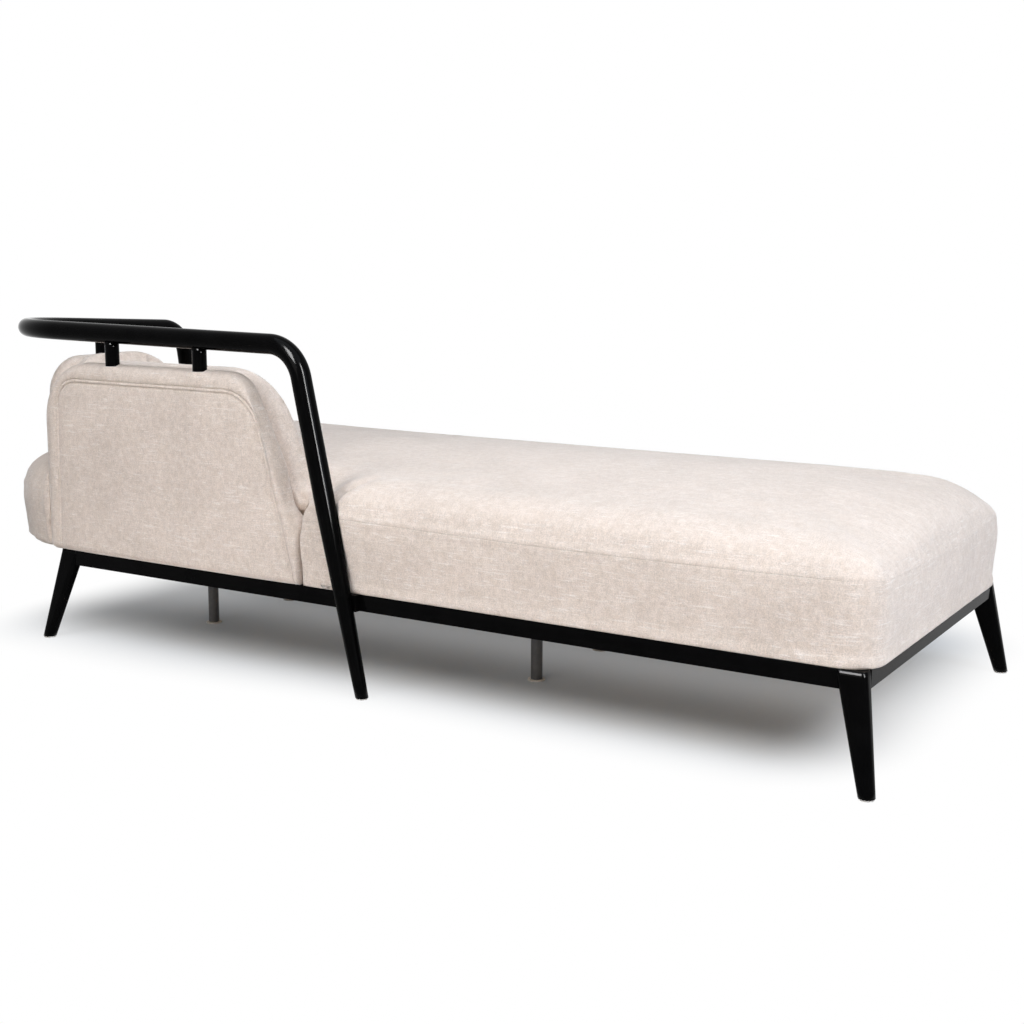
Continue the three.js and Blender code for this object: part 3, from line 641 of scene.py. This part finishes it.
def wall_inset(share):
    """Inset of the boxing at a share of its height: it swells outwards up to its widest line."""
    if share < BULGE_WIDEST:
        return -WALL_BULGE * math.sin(min(1, (share - BULGE_START) / (BULGE_WIDEST - BULGE_START)) * math.pi / 2)
    return -WALL_BULGE + WALL_BULGE * ((share - BULGE_WIDEST) / (1 - BULGE_WIDEST)) ** 2


def seat_body():
    rings = []
    # the lower edge rolls in, more at the head end
    for angle in quarter(7):
        inward, upward = 1 - math.sin(angle), 1 - math.cos(angle)
        rings.append(seat_ring(3 * inward, 25 * inward, RAIL_TOP - 12 + 18 * upward, RAIL_TOP - 3 + 25 * upward))
    for share in np.linspace(0.42, 0.97, 9):
        inset, z = wall_inset(share), RAIL_TOP + BOXING_HEIGHT * share
        rings.append(seat_ring(inset, inset, z, z))
    for angle in quarter(12):
        inward = 1 - math.cos(angle)
        inset, z = SHOULDER_WIDTH * inward, SEAT_SEAM + SHOULDER_HEIGHT * math.sin(angle)
        rings.append(seat_ring(inset, inset, z, z, FOOT_SHOULDER_WIDTH * inward))
    crown_width = HALF_WIDTH - SHOULDER_WIDTH - CROWN_MARGIN
    for share in np.linspace(0.1, 1, 10):
        z = SEAT_SEAM + SHOULDER_HEIGHT + CROWN_HEIGHT * math.sin(share * math.pi / 2)
        inset = SHOULDER_WIDTH + crown_width * share
        rings.append(seat_ring(inset, inset, z, z, FOOT_SHOULDER_WIDTH + crown_width * share))
    return loft("seat_body", rings)


def notch_cutter(name, corners, plane):
    """The room of a panel in the seat. On its upright edge, the last one, the seat follows the rounding."""
    rings = []
    for z, inset in [(-2, 0), (34, 0), (40, 1.4), (45, 4.2), (49, 8), (52, 12), (55, 19), (115, 19)]:
        insets = [-1.0] * (len(corners) - 1) + [inset - 1.0]
        flat = outline([(x, y, 4.0) for x, y, _ in corners], insets, 10, [1] * len(corners), 4.0)
        rings.append(plane.out(at_level(flat, z)))
    return loft(name, rings)


def seam_height(x, y):
    """Height of the seat's boxing seam round the cushion, in millimetres."""
    near = 345.5 - 5.5 * np.sin(np.clip((x + 119) / 1040.0, 0, 1) * math.pi)
    near = near - 14 * (1 - smooth(x, -224, -130))
    near = np.where(x < -600, 340.0 - 10 * smooth(-x, 900, 1150), near)
    far = 345.0 - 12 * smooth(-x, 700, 1150)
    side = near + (far - near) * smooth(y, -330, 330)
    foot = 345.5 - 12 * np.sin(np.clip((y + HALF_WIDTH) / (2 * HALF_WIDTH), 0, 1) * math.pi)
    return side + (foot - side) * smooth(x, 912, 938)


def fold(points, route):
    """Depth of a soft crease along a route on the top. Route points are (x, y, share of the depth)."""
    deepest = np.zeros(len(points))
    for (ax, ay, a_share), (bx, by, b_share) in zip(route[:-1], route[1:]):
        a, span = np.array([ax, ay]), np.array([bx - ax, by - ay])
        t = np.clip(((points[:, :2] - a) @ span) / (span @ span), 0, 1)
        off = np.linalg.norm(points[:, :2] - (a + t[:, None] * span), axis=1)
        deepest = np.maximum(deepest, (a_share + (b_share - a_share) * t) * bell(off, CREASE_WIDTH))
    return CREASE_DEPTH * deepest


def tube_radius(from_foot):
    """Radius of the handrail at a distance from its nearer foot."""
    slimmed = np.minimum(1, (from_foot + TUBE_RADIUS) / TAPER_LENGTH)
    return TUBE_FOOT_RADIUS + (TUBE_RADIUS - TUBE_FOOT_RADIUS) * slimmed


def held_on_seat(plan, normal):
    """How firmly each point of the cushion is held while it swells."""
    x, y, z = plan.T
    held = np.zeros(len(plan))
    held[z < 214] = 1
    held[(x > -975) & (x < -221) & (y < -345)] = 1
    held[(x < -1148) & (y > -195) & (y < 260)] = 1
    sewn = bell(z - seam_height(x, y), 7.0) * (np.abs(normal[:, 2]) < 0.75)
    return np.maximum(held, 0.8 * sewn)


# The seat's grid in metres, and how far a soft point may move in the cloth run
SEAT_VOXEL, SEAT_CAP = 0.008, 0.024
# the cloth run lets the far shoulder sink by this much
SUNK = 6.5
LEG_ROOM, UNDERSIDE_GAP = 2.0, 0.4


def seat_piece():
    """Seat cushion: cut round the panels, remeshed, swollen, then sewn and fitted to what it touches."""
    piece = seat_body()
    boolean(piece, notch_cutter("cut_near", NEAR_NOTCH, NEAR))
    boolean(piece, notch_cutter("cut_head", HEAD_SHELL, HEAD))
    remesh(piece, SEAT_VOXEL)
    plan = relax(to_plan(points_of(piece)), edges_of(piece))
    set_points(piece, place(plan))
    held = held_on_seat(plan, normals_of(piece))
    set_points(piece, points_of(piece) - normals_of(piece) * SWELLING * (1 - held)[:, None])
    inflate(piece, held, SEAT_CAP)
    subdivide(piece)
    plan = to_plan(points_of(piece))
    normal = normals_of(piece)
    side_wall = smooth(0.9 - np.abs(normal[:, 2]), 0, 0.2)
    from_seam = plan[:, 2] - seam_height(plan[:, 0], plan[:, 1])
    wave = np.sin(plan[:, 0] / 9.0 + plan[:, 1] / 7.0 + 1.3 * np.sin(plan[:, 0] / 41.0))
    pucker = 0.35 * wave * bell(from_seam, 12)
    sew = -1.0 * bell(from_seam, 3.2) + 0.7 * bell(from_seam - 8, 6.0) + 0.6 * pucker
    lobe = smooth(-plan[:, 0], 930, 1010)
    # the sewn line is tight along the sides and nearly lost in the pile at the foot end
    faint = smooth(plan[:, 0], SEAT_FOOT - 80, SEAT_FOOT - 12)
    plan = plan + normal * (sew * side_wall * (1 - lobe) * (1 - 0.65 * faint))[:, None]
    plan[:, 2] += SUNK * smooth(plan[:, 2], 368, 410) * smooth(plan[:, 1], -260, 60)
    plan[:, 2] -= fold(plan, CREASE) * (normal[:, 2] > 0.1)
    # room for the handrail's near leg
    foot_point = np.array(NEAR_FOOT)
    leg_line = np.array(NEAR_TOP) - foot_point
    leg_line /= np.linalg.norm(leg_line)
    along = (plan - foot_point) @ leg_line
    spoke = plan - foot_point - along[:, None] * leg_line
    reach = np.linalg.norm(spoke, axis=1)
    room = tube_radius(along) + LEG_ROOM
    by_leg = (reach < room) & (plan[:, 2] > 190)
    plan[by_leg] += spoke[by_leg] * ((room - reach) / np.maximum(reach, 1e-6))[by_leg][:, None]
    # a level underside over the frame and the deck board
    plan[:, 2] = np.maximum(plan[:, 2], RAIL_TOP + UNDERSIDE_GAP)
    over_deck = (plan[:, 2] < DECK_TOP) & (plan[:, 0] > DECK_HEAD) & (plan[:, 0] < DECK_FOOT)
    over_deck &= np.abs(plan[:, 1]) < HALF_WIDTH - DECK_SIDE_MARGIN
    plan[over_deck, 2] = DECK_TOP
    set_points(piece, place(plan))
    store_seam(piece, np.where((side_wall > 0.2) & (lobe < 0.5), from_seam * (1 + 2.5 * faint), NO_SEAM))
    finish_soft(piece)
    piece.name = "seat_cushion_cover"
    return piece


SEAT_PIECE = seat_piece()
seat_tree = BVHTree.FromObject(SEAT_PIECE, bpy.context.evaluated_depsgraph_get())


# Shells: upholstered boards with a sewn border round a flat field
SHELL_SPACING, SHELL_ARC_STEPS, SHELL_LEAST_RADIUS = 9.0, 18, 6.0
BORDER_DEPTH, BORDER_REACH, BORDER_SWELL = 26, 0.88, 26.6
# twin seam between border and field: distance from its middle line, and height
SEAM_PROFILE = [(-9, 0.4), (-5.5, -0.2), (-3.8, -1.7), (-2.8, -0.6), (-1.6, 0.7), (0, 1.0), (1.6, 0.7),
                (2.8, -0.6), (3.8, -1.7), (5.5, -0.2), (9, 0.5)]
STITCH_OFFSET = 3.4
SHELL_UNDERSIDE = 0.2003
# each post: plan place, and the height at which the cover meets it
NEAR_POST_PLACES = [(x, NEAR_TOP[1], NEAR_POST_COVER) for x in NEAR_POSTS_X]
HEAD_POST_PLACES = [(HEAD_CORNER[0], HEAD_POST_Y, HEAD_POST_COVER)]


def shell_piece(name, corners, seam_corners, plane, field, posts):
    """Field lists the insets of the rings inside the sewn line."""
    steps = edge_counts(corners, SHELL_SPACING)
    following = corners[1:] + corners[:1]
    on_rail = [here[1] == PANEL_FOOT and after[1] == PANEL_FOOT for here, after in zip(corners, following)]

    def edge_line(which, inset):
        insets = [0 if foot else inset for foot in on_rail]
        return outline(which, insets, SHELL_ARC_STEPS, steps, SHELL_LEAST_RADIUS)

    rings = [at_level(edge_line(corners, 60), 0.4), at_level(edge_line(corners, 34), 0.2)]
    for angle in quarter(6):
        inset = SHELL_INNER_ROUNDING * (1 - math.sin(angle))
        rings.append(at_level(edge_line(corners, inset), SHELL_INNER_ROUNDING * (1 - math.cos(angle))))
    # the border swells in one curve from the edge to the sewn line
    edge = edge_line(corners, 0)
    inner = edge_line(seam_corners, SEAM_PROFILE[0][0])
    for angle in quarter(12)[1:]:
        toward_seam = BORDER_REACH * (1 - math.cos(angle))
        mixed = edge * (1 - toward_seam) + inner * toward_seam
        rings.append(at_level(mixed, SHELL_THICKNESS - BORDER_DEPTH + BORDER_SWELL * math.sin(angle)))
    count = len(edge)
    distances = [np.full(count, NO_SEAM)] * len(rings)
    for inset, lift in SEAM_PROFILE:
        rings.append(at_level(edge_line(seam_corners, inset), SHELL_THICKNESS + lift))
        distances.append(np.full(count, abs(abs(inset) - STITCH_OFFSET)))
    for inset in field:
        lift = 0.8 + 2.2 * math.sin(inset / field[-1] * math.pi / 2)
        rings.append(at_level(edge_line(seam_corners, inset), SHELL_THICKNESS + lift))
        distances.append(np.full(count, NO_SEAM))
    piece = loft(name, [plane.out(ring) for ring in rings], LINEN)
    store_seam(piece, np.concatenate(distances))
    cut_level(piece, SHELL_UNDERSIDE)
    shape = to_plan(points_of(piece))
    # the cover rolls in above the rail, and stays level round each post
    rolled = 9.0 * (1 - smooth(shape[:, 2], RAIL_TOP, RAIL_TOP + 9)) * (plane.front(shape) < -40)
    shape -= plane.away * rolled[:, None]
    for x, y, level in posts:
        near = 1 - smooth(np.hypot(shape[:, 0] - x, shape[:, 1] - y), 19, 36)
        lifted = np.maximum(shape[:, 2], level)
        shape[:, 2] += (lifted - shape[:, 2]) * near * (shape[:, 2] > level - 26)
    set_points(piece, place(shape))
    return piece


def cut_level(thing, height):
    """Cuts off what is below a height, and closes the cut."""
    work = bmesh.new()
    work.from_mesh(thing.data)
    cut = bmesh.ops.bisect_plane(work, geom=work.verts[:] + work.edges[:] + work.faces[:], dist=1e-6,
                                 plane_co=(0, 0, height), plane_no=(0, 0, -1), clear_outer=True)
    rim = [e for e in cut["geom_cut"] if isinstance(e, bmesh.types.BMEdge)]
    bmesh.ops.holes_fill(work, edges=rim, sides=0)
    bmesh.ops.recalc_face_normals(work, faces=work.faces[:])
    work.to_mesh(thing.data)
    work.free()


NEAR_SHELL_PIECE = shell_piece("near_back_shell_cover", NEAR_SHELL, NEAR_SEAM, NEAR,
                               (18, 32, 50, 72, 98, 128, 150), NEAR_POST_PLACES)
HEAD_SHELL_PIECE = shell_piece("head_back_shell_cover", HEAD_SHELL, HEAD_SEAM, HEAD,
                               (18, 30, 43, 57, 72, 86), HEAD_POST_PLACES)


# Pads: swollen cushions in front of the shells, shaped below to the seat
PAD_SPACING, PAD_ARC_STEPS, PAD_LEAST_RADIUS = 14.0, 14, 8.0
PAD_VOXEL, PAD_CAP, PAD_SHRINK = 0.006, 0.022, 0.003
# metres: what is lower is held in the cloth run, and what is higher is not rested on the seat
PAD_HELD_BELOW, PAD_RESTS_BELOW, ABOVE_PADS, SEAT_GAP = 0.345, 0.445, 0.7, 0.0012
# swelling of the near pad's lower foot corner: middle and width in millimetres, and its way in metres
SWELL_X, SWELL_Z, SWELL_WIDTH, SWELL_WAY = -248, 358, 34.0, (0.020, -0.023, 0.001)


def pad_outline(corners, inset):
    return outline(corners, inset, PAD_ARC_STEPS, edge_counts(corners, PAD_SPACING), PAD_LEAST_RADIUS)


def rim_share(corners, plane, points):
    """1 on the rim of a pad and 0 on its two large faces."""
    flat = plane.flat(to_plan(points))
    ring = pad_outline(corners, 0)
    best = np.full(len(flat), np.inf)
    for a, b in zip(ring, np.roll(ring, -1, axis=0)):
        span = b - a
        t = np.clip(((flat - a) @ span) / max(span @ span, 1e-9), 0, 1)
        best = np.minimum(best, np.linalg.norm(flat - (a + t[:, None] * span), axis=1))
    return 1 - smooth(best, 10, 18)


def pad_body(name, corners, plane):
    rings = []

    def add(inset, depth):
        rings.append(plane.out(at_level(pad_outline(corners, inset), -depth)))

    for inset in (110, 70, 48):
        add(inset, 0.6)
    for angle in quarter(7):
        add(PAD_BACK_ROUNDING * (1 - math.sin(angle)), 0.6 + PAD_BACK_ROUNDING * (1 - math.cos(angle)))
    add(-1, 42)
    deep = PAD_ROUNDING * 1.1
    for angle in quarter(8):
        add(PAD_ROUNDING * (1 - math.cos(angle)), PAD_THICKNESS - deep + deep * math.sin(angle))
    for share in (0.2, 0.45, 0.7, 1.0):
        add(PAD_ROUNDING + 90 * share, PAD_THICKNESS + 9 * math.sin(share * math.pi / 2))
    return loft(name, rings, turned=True)


def pad_piece(name, corners, plane):
    piece = pad_body(name, corners, plane)
    remesh(piece, PAD_VOXEL)
    points = relax(points_of(piece), edges_of(piece))
    set_points(piece, points)
    # the side against the shell and the underside are held, the sewn edge partly
    depth = plane.front(to_plan(points))
    held = np.where(depth < 4, 1.0, 0.0)
    held[points[:, 2] < PAD_HELD_BELOW] = 1
    sewn = bell(depth - PAD_SEAM_DEPTH, 6.0) * rim_share(corners, plane, points)
    held = np.maximum(held, 0.7 * sewn)
    set_points(piece, points_of(piece) - normals_of(piece) * PAD_SHRINK * (1 - held)[:, None])
    inflate(piece, held, PAD_CAP)
    subdivide(piece)
    points = points_of(piece)
    depth = plane.front(to_plan(points))
    share = rim_share(corners, plane, points)
    from_seam = depth - PAD_SEAM_DEPTH
    sew = -1.5 * bell(from_seam, 3.4) + 0.5 * bell(np.abs(from_seam) - 8, 4.5)
    points = points + normals_of(piece) * (sew * share * MM)[:, None]
    if plane is NEAR:
        # the lower foot corner swells into the room beside the shell
        plan = to_plan(points)
        off = np.hypot(plan[:, 0] - SWELL_X, plan[:, 2] - SWELL_Z)
        swell = bell(off, SWELL_WIDTH) * (1 - smooth(depth, 14, 60))
        points = points + swell[:, None] * np.array(SWELL_WAY)
    # rest the underside on the seat
    for i, point in enumerate(points):
        if point[2] > PAD_RESTS_BELOW:
            continue
        hit = seat_tree.ray_cast(Vector((point[0], point[1], ABOVE_PADS)), Vector((0, 0, -1)))
        if hit[0] is not None:
            points[i, 2] = max(point[2], hit[0].z + SEAT_GAP)
    set_points(piece, points)
    store_seam(piece, np.where(share > 0.3, from_seam, NO_SEAM))
    finish_soft(piece)
    return piece


NEAR_PAD_PIECE = pad_piece("near_back_pad_cover", NEAR_PAD, NEAR)
HEAD_PAD_PIECE = pad_piece("head_back_pad_cover", HEAD_PAD, HEAD)

# Handrail: one tube from foot to foot, slim at both feet
TUBE_SIDES, POST_SIDES, PATH_STEP = 48, 40, 24.0
RAIL_STOPS = [np.array(stop) for stop in (NEAR_FOOT, NEAR_TOP, HEAD_CORNER, HEAD_TOP, HEAD_FOOT)]
# radius and number of steps of each bend
RAIL_BENDS = [(ELBOW_RADIUS, 26), (CORNER_BEND_RADIUS, 52), (ELBOW_RADIUS, 26)]


def rail_path():
    path = [RAIL_STOPS[0]]
    for before, corner, after, (radius, steps) in zip(RAIL_STOPS, RAIL_STOPS[1:], RAIL_STOPS[2:], RAIL_BENDS):
        a = (corner - before) / np.linalg.norm(corner - before)
        b = (after - corner) / np.linalg.norm(after - corner)
        angle = math.acos(np.clip(a @ b, -1, 1))
        start = corner - a * (radius * math.tan(angle / 2))
        side = b - a * (a @ b)
        side /= np.linalg.norm(side)
        centre = start + side * radius
        for k in range(steps + 1):
            turned = angle * k / steps
            path.append(centre - side * radius * math.cos(turned) + a * radius * math.sin(turned))
    path.append(RAIL_STOPS[-1])
    fine = [path[0]]
    for a, b in zip(path[:-1], path[1:]):
        pieces = max(1, int(np.linalg.norm(b - a) / PATH_STEP))
        fine.extend(a + (b - a) * k / pieces for k in range(1, pieces + 1))
    return np.array(fine)


def circle(sides):
    angles = np.arange(sides) * 2 * math.pi / sides
    return np.cos(angles), np.sin(angles)


def handrail():
    path = rail_path()
    tangent = np.gradient(path, axis=0)
    tangent /= np.linalg.norm(tangent, axis=1)[:, None]
    from_start = np.concatenate([[0], np.cumsum(np.linalg.norm(np.diff(path, axis=0), axis=1))])
    radius = tube_radius(np.minimum(from_start, from_start[-1] - from_start))
    cosines, sines = circle(TUBE_SIDES)
    axis = np.array([0.0, 1.0, 0.0])
    rings = []
    for i, point in enumerate(path):
        axis = axis - tangent[i] * (axis @ tangent[i])
        axis /= np.linalg.norm(axis)
        other = np.cross(tangent[i], axis)
        ring = point + radius[i] * (np.outer(cosines, axis) + np.outer(sines, other))
        if i in (0, len(path) - 1):
            # the ends are cut level on their glides
            ring = ring + np.outer((point[2] - ring[:, 2]) / tangent[i][2], tangent[i])
        rings.append(ring)
    return flat_ends(loft("handrail_tube", rings, LACQUER))


HANDRAIL_PIECE = handrail()


def post_piece(name, x, y, bottom, run_start, run_end, axis):
    """A round post, sunk in the cover and cut at the top to the underside of a run along X (0) or Y (1)."""
    cosines, sines = circle(POST_SIDES)
    ring = np.column_stack([x + POST_RADIUS * cosines, y + POST_RADIUS * sines])
    climb = (run_end[2] - run_start[2]) / (run_end[axis] - run_start[axis])
    middle = run_start[2] + (ring[:, axis] - run_start[axis]) * climb
    across = ring[:, 1 - axis] - run_start[1 - axis]
    saddle = middle - np.sqrt(TUBE_RADIUS ** 2 - across ** 2) - POST_CLEARANCE
    rings = [np.column_stack([ring, bottom + (saddle - bottom) * level]) for level in np.linspace(0, 1, 9)]
    return flat_ends(loft(name, rings, LACQUER))


def near_post(name, x):
    return post_piece(name, x, NEAR_TOP[1], NEAR_POST_FOOT, NEAR_TOP, HEAD_CORNER, 0)


POST_PIECES = [(near_post("near_post_head_body", NEAR_POSTS_X[0]), "near_post_head_side"),
               (near_post("near_post_foot_body", NEAR_POSTS_X[1]), "near_post_foot_side"),
               (post_piece("head_post_body", HEAD_CORNER[0], HEAD_POST_Y, HEAD_POST_FOOT, HEAD_CORNER, HEAD_TOP, 1),
                "head_post")]


def between(foot, top, share):
    return foot + (top - foot) * share


def leg_piece(name, side_x, side_y):
    """A corner leg: the same taper as its solid, with finer rounding."""
    rings = []
    for share in np.arange(LEG_ROWS) / (LEG_ROWS - 1):
        x, y = (between(foot, top, share) for foot, top in zip(LEG_FOOT_CENTRE, LEG_TOP_CENTRE))
        half_x, half_y = (between(foot, top, share) for foot, top in zip(LEG_FOOT_HALF, LEG_TOP_HALF))
        r = between(LEG_FOOT_ROUNDING, LEG_TOP_ROUNDING, share)
        corners = [(-half_x, -half_y, r), (half_x, -half_y, r), (half_x, half_y, r), (-half_x, half_y, r)]
        flat = outline(corners, 0, 10, [3, 3, 3, 3], 0.5) + np.array([side_x * x, side_y * y])
        rings.append(at_level(flat, between(GLIDE_TOP, RAIL_TOP, share)))
    return flat_ends(loft(name, rings, LACQUER))


LEG_SIGNS = {"near_foot": (1, -1), "far_foot": (1, 1), "near_head": (-1, -1), "far_head": (-1, 1)}
LEG_PIECES = {key: leg_piece(key + "_leg_body", *signs) for key, signs in LEG_SIGNS.items()}

# Riding, replacing and slots
for piece, node in ((SEAT_PIECE, "seat_cushion"), (NEAR_SHELL_PIECE, "near_back_shell"),
                    (HEAD_SHELL_PIECE, "head_back_shell"), (NEAR_PAD_PIECE, "near_back_pad"),
                    (HEAD_PAD_PIECE, "head_back_pad")):
    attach(piece, "root")
    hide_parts(node)
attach(HANDRAIL_PIECE, "root")
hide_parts("handrail_near_elbow", "handrail_near_run", "handrail_corner_bend", "handrail_head_run",
            "handrail_head_elbow", "handrail_near_leg", "handrail_head_leg")
for piece, node in POST_PIECES:
    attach(piece, "root")
    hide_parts(node)
for key, piece in LEG_PIECES.items():
    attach(piece, "root")
    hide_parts(key + "_corner_leg")

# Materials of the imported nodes: those that stay are seen, the others keep a look of their kind
for name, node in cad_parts.items():
    if name == "seat_deck_board":
        wanted = PLYWOOD
    elif "glide" in name:
        wanted = GLIDE_PLASTIC
    elif "centre_support" in name:
        wanted = SUPPORT_PLASTIC
    elif "shell" in name or "pad" in name or name == "seat_cushion":
        wanted = LINEN
    else:
        wanted = LACQUER_EDGED
    for slot in node.material_slots:
        slot.material = wanted

# Floor: pale, and seen as white where nothing shades it; under the object the camera sees painted shade and a
# painted glow
FLOOR_SIZE, FLOOR_DROP = 30.0, 0.0004
# the lamps' shadow, painted darker for the camera, is whole inside these places in metres, and beyond them the
# white glow covers it
SHADOW_HALF_LENGTH, SHADOW_NEAR, SHADOW_FAR, FADE_X = 0.84, 0.16, 0.55, 0.27


def floor_material():
    t = material_tree("floor_look")
    x, y, _ = t.node("ShaderNodeSeparateXYZ", {0: t.position()}).outputs
    # the paper ends on the head side, so less light comes back from there
    paper = t.remap(x, -1.15, -0.72, 0.08, 0.92)
    paper_colour = t.vector(paper, t.times(paper, 0.98), t.times(paper, 0.96))
    diffuse = t.node("ShaderNodeBsdfDiffuse", {"Color": paper_colour})
    # seen by the camera, the floor under the object is painted darker than its paper (painted shade), and a painted
    # glow lifts that shade, more towards the far side and away from the head end
    painted_dark_floor = t.node("ShaderNodeBsdfDiffuse", {"Color": rgb(0.42, 0.43, 0.44)})
    lift = t.add(t.remap(y, -0.17, 0.1, 0.0, 0.16), t.remap(x, -0.95, -0.5, 0.16, 0.0))
    lifted = t.vector(t.add(lift, 0.040), t.add(lift, 0.050), t.add(lift, 0.059))
    painted_lift_glow = t.node("ShaderNodeEmission", {"Color": lifted})
    painted_shade_floor = t.node("ShaderNodeAddShader", {0: painted_dark_floor.outputs[0], 1: painted_lift_glow.outputs[0]})
    glow = t.node("ShaderNodeEmission", {"Color": rgb(1, 1, 1), "Strength": 1.0})
    beyond_x = t.math("MAXIMUM", t.minus(t.math("ABSOLUTE", x), SHADOW_HALF_LENGTH), 0.0)
    before = t.minus(t.times(y, -1.0), SHADOW_NEAR)
    beyond_y = t.math("MAXIMUM", t.math("MAXIMUM", before, t.minus(y, SHADOW_FAR)), 0.0)
    fade_y = t.remap(x, -0.5, 0.15, 0.40, 0.33)
    away = t.vector(t.math("DIVIDE", beyond_x, FADE_X), t.math("DIVIDE", beyond_y, fade_y), 0.0)
    far = t.remap(t.node("ShaderNodeVectorMath", {0: away}, operation="LENGTH").outputs["Value"], 0.0, 1.05)
    camera_floor_with_painted_shade = t.node("ShaderNodeMixShader", {0: far, 1: painted_shade_floor.outputs[0], 2: glow.outputs[0]})
    return t.finish(t.node("ShaderNodeMixShader", {0: t.seen(), 1: diffuse.outputs[0], 2: camera_floor_with_painted_shade.outputs[0]}))


floor_mesh = bmesh.new()
bmesh.ops.create_grid(floor_mesh, x_segments=8, y_segments=8, size=FLOOR_SIZE)
floor_data = bpy.data.meshes.new("floor")
floor_mesh.to_mesh(floor_data)
floor_mesh.free()
floor_data.materials.append(floor_material())
floor = bpy.data.objects.new("floor", floor_data)
floor.location = (0, 0, -FLOOR_DROP)
bpy.context.scene.collection.objects.link(floor)


def studio_world():
    """White studio, seen as white. It lights less from the head side and more from the foot side."""
    t = Tree(bpy.data.worlds.new("studio"), "ShaderNodeOutputWorld")
    generated = t.node("ShaderNodeTexCoord").outputs["Generated"]
    toward_foot = t.node("ShaderNodeSeparateXYZ", {0: generated}).outputs[0]
    slope = t.node("ShaderNodeMapRange", {"Value": toward_foot, "From Min": -1.0, "To Min": 0.0, "To Max": 0.39})
    plain = t.node("ShaderNodeBackground", {0: rgb(1.0, 0.94, 0.87), 1: slope.outputs["Result"]})
    white = t.node("ShaderNodeBackground", {0: rgb(1, 1, 1), 1: 1.0})
    return t.finish(t.node("ShaderNodeMixShader", {0: t.seen(), 1: plain.outputs[0], 2: white.outputs[0]}))


bpy.context.scene.world = studio_world()


def area_light(name, position, target, width, height, power, colour=(1.0, 1.0, 1.0)):
    lamp = bpy.data.lights.new(name, "AREA")
    lamp.shape = "RECTANGLE"
    lamp.size = width
    lamp.size_y = height
    lamp.energy = power
    lamp.color = colour
    thing = bpy.data.objects.new(name, lamp)
    bpy.context.scene.collection.objects.link(thing)
    thing.location = position
    direction = Vector(target) - Vector(position)
    thing.rotation_euler = direction.to_track_quat("-Z", "Y").to_euler()
    return thing


area_light("top_softbox", (0.5, -1.1, 3.25), (0.3, -0.2, 0.2), 3.6, 2.6, 102, (0.92, 0.99, 1.09))
area_light("foot_softbox", (2.5, -0.6, 1.7), (0.7, -0.1, 0.3), 1.2, 1.2, 22, (0.90, 1.0, 1.16))
area_light("near_softbox", (-0.9, -5.2, 2.4), (-0.4, -0.2, 0.3), 2.6, 1.6, 69, (1.03, 0.985, 0.95))
# boxes for the lines of light that the lacquered tube shows; they add nothing to the cloth or floor
for highlight in (area_light("highlight_box", (2.6, -1.42, 2.1), (-0.05, -0.41, 0.5), 0.6, 2.0, 826),
                  area_light("bend_highlight_box", (0.0, -2.5, 2.75), (-0.09, -0.41, 0.66), 1.0, 1.5, 960)):
    highlight.visible_diffuse = False

bpy.context.scene.view_settings.view_transform = "Standard"
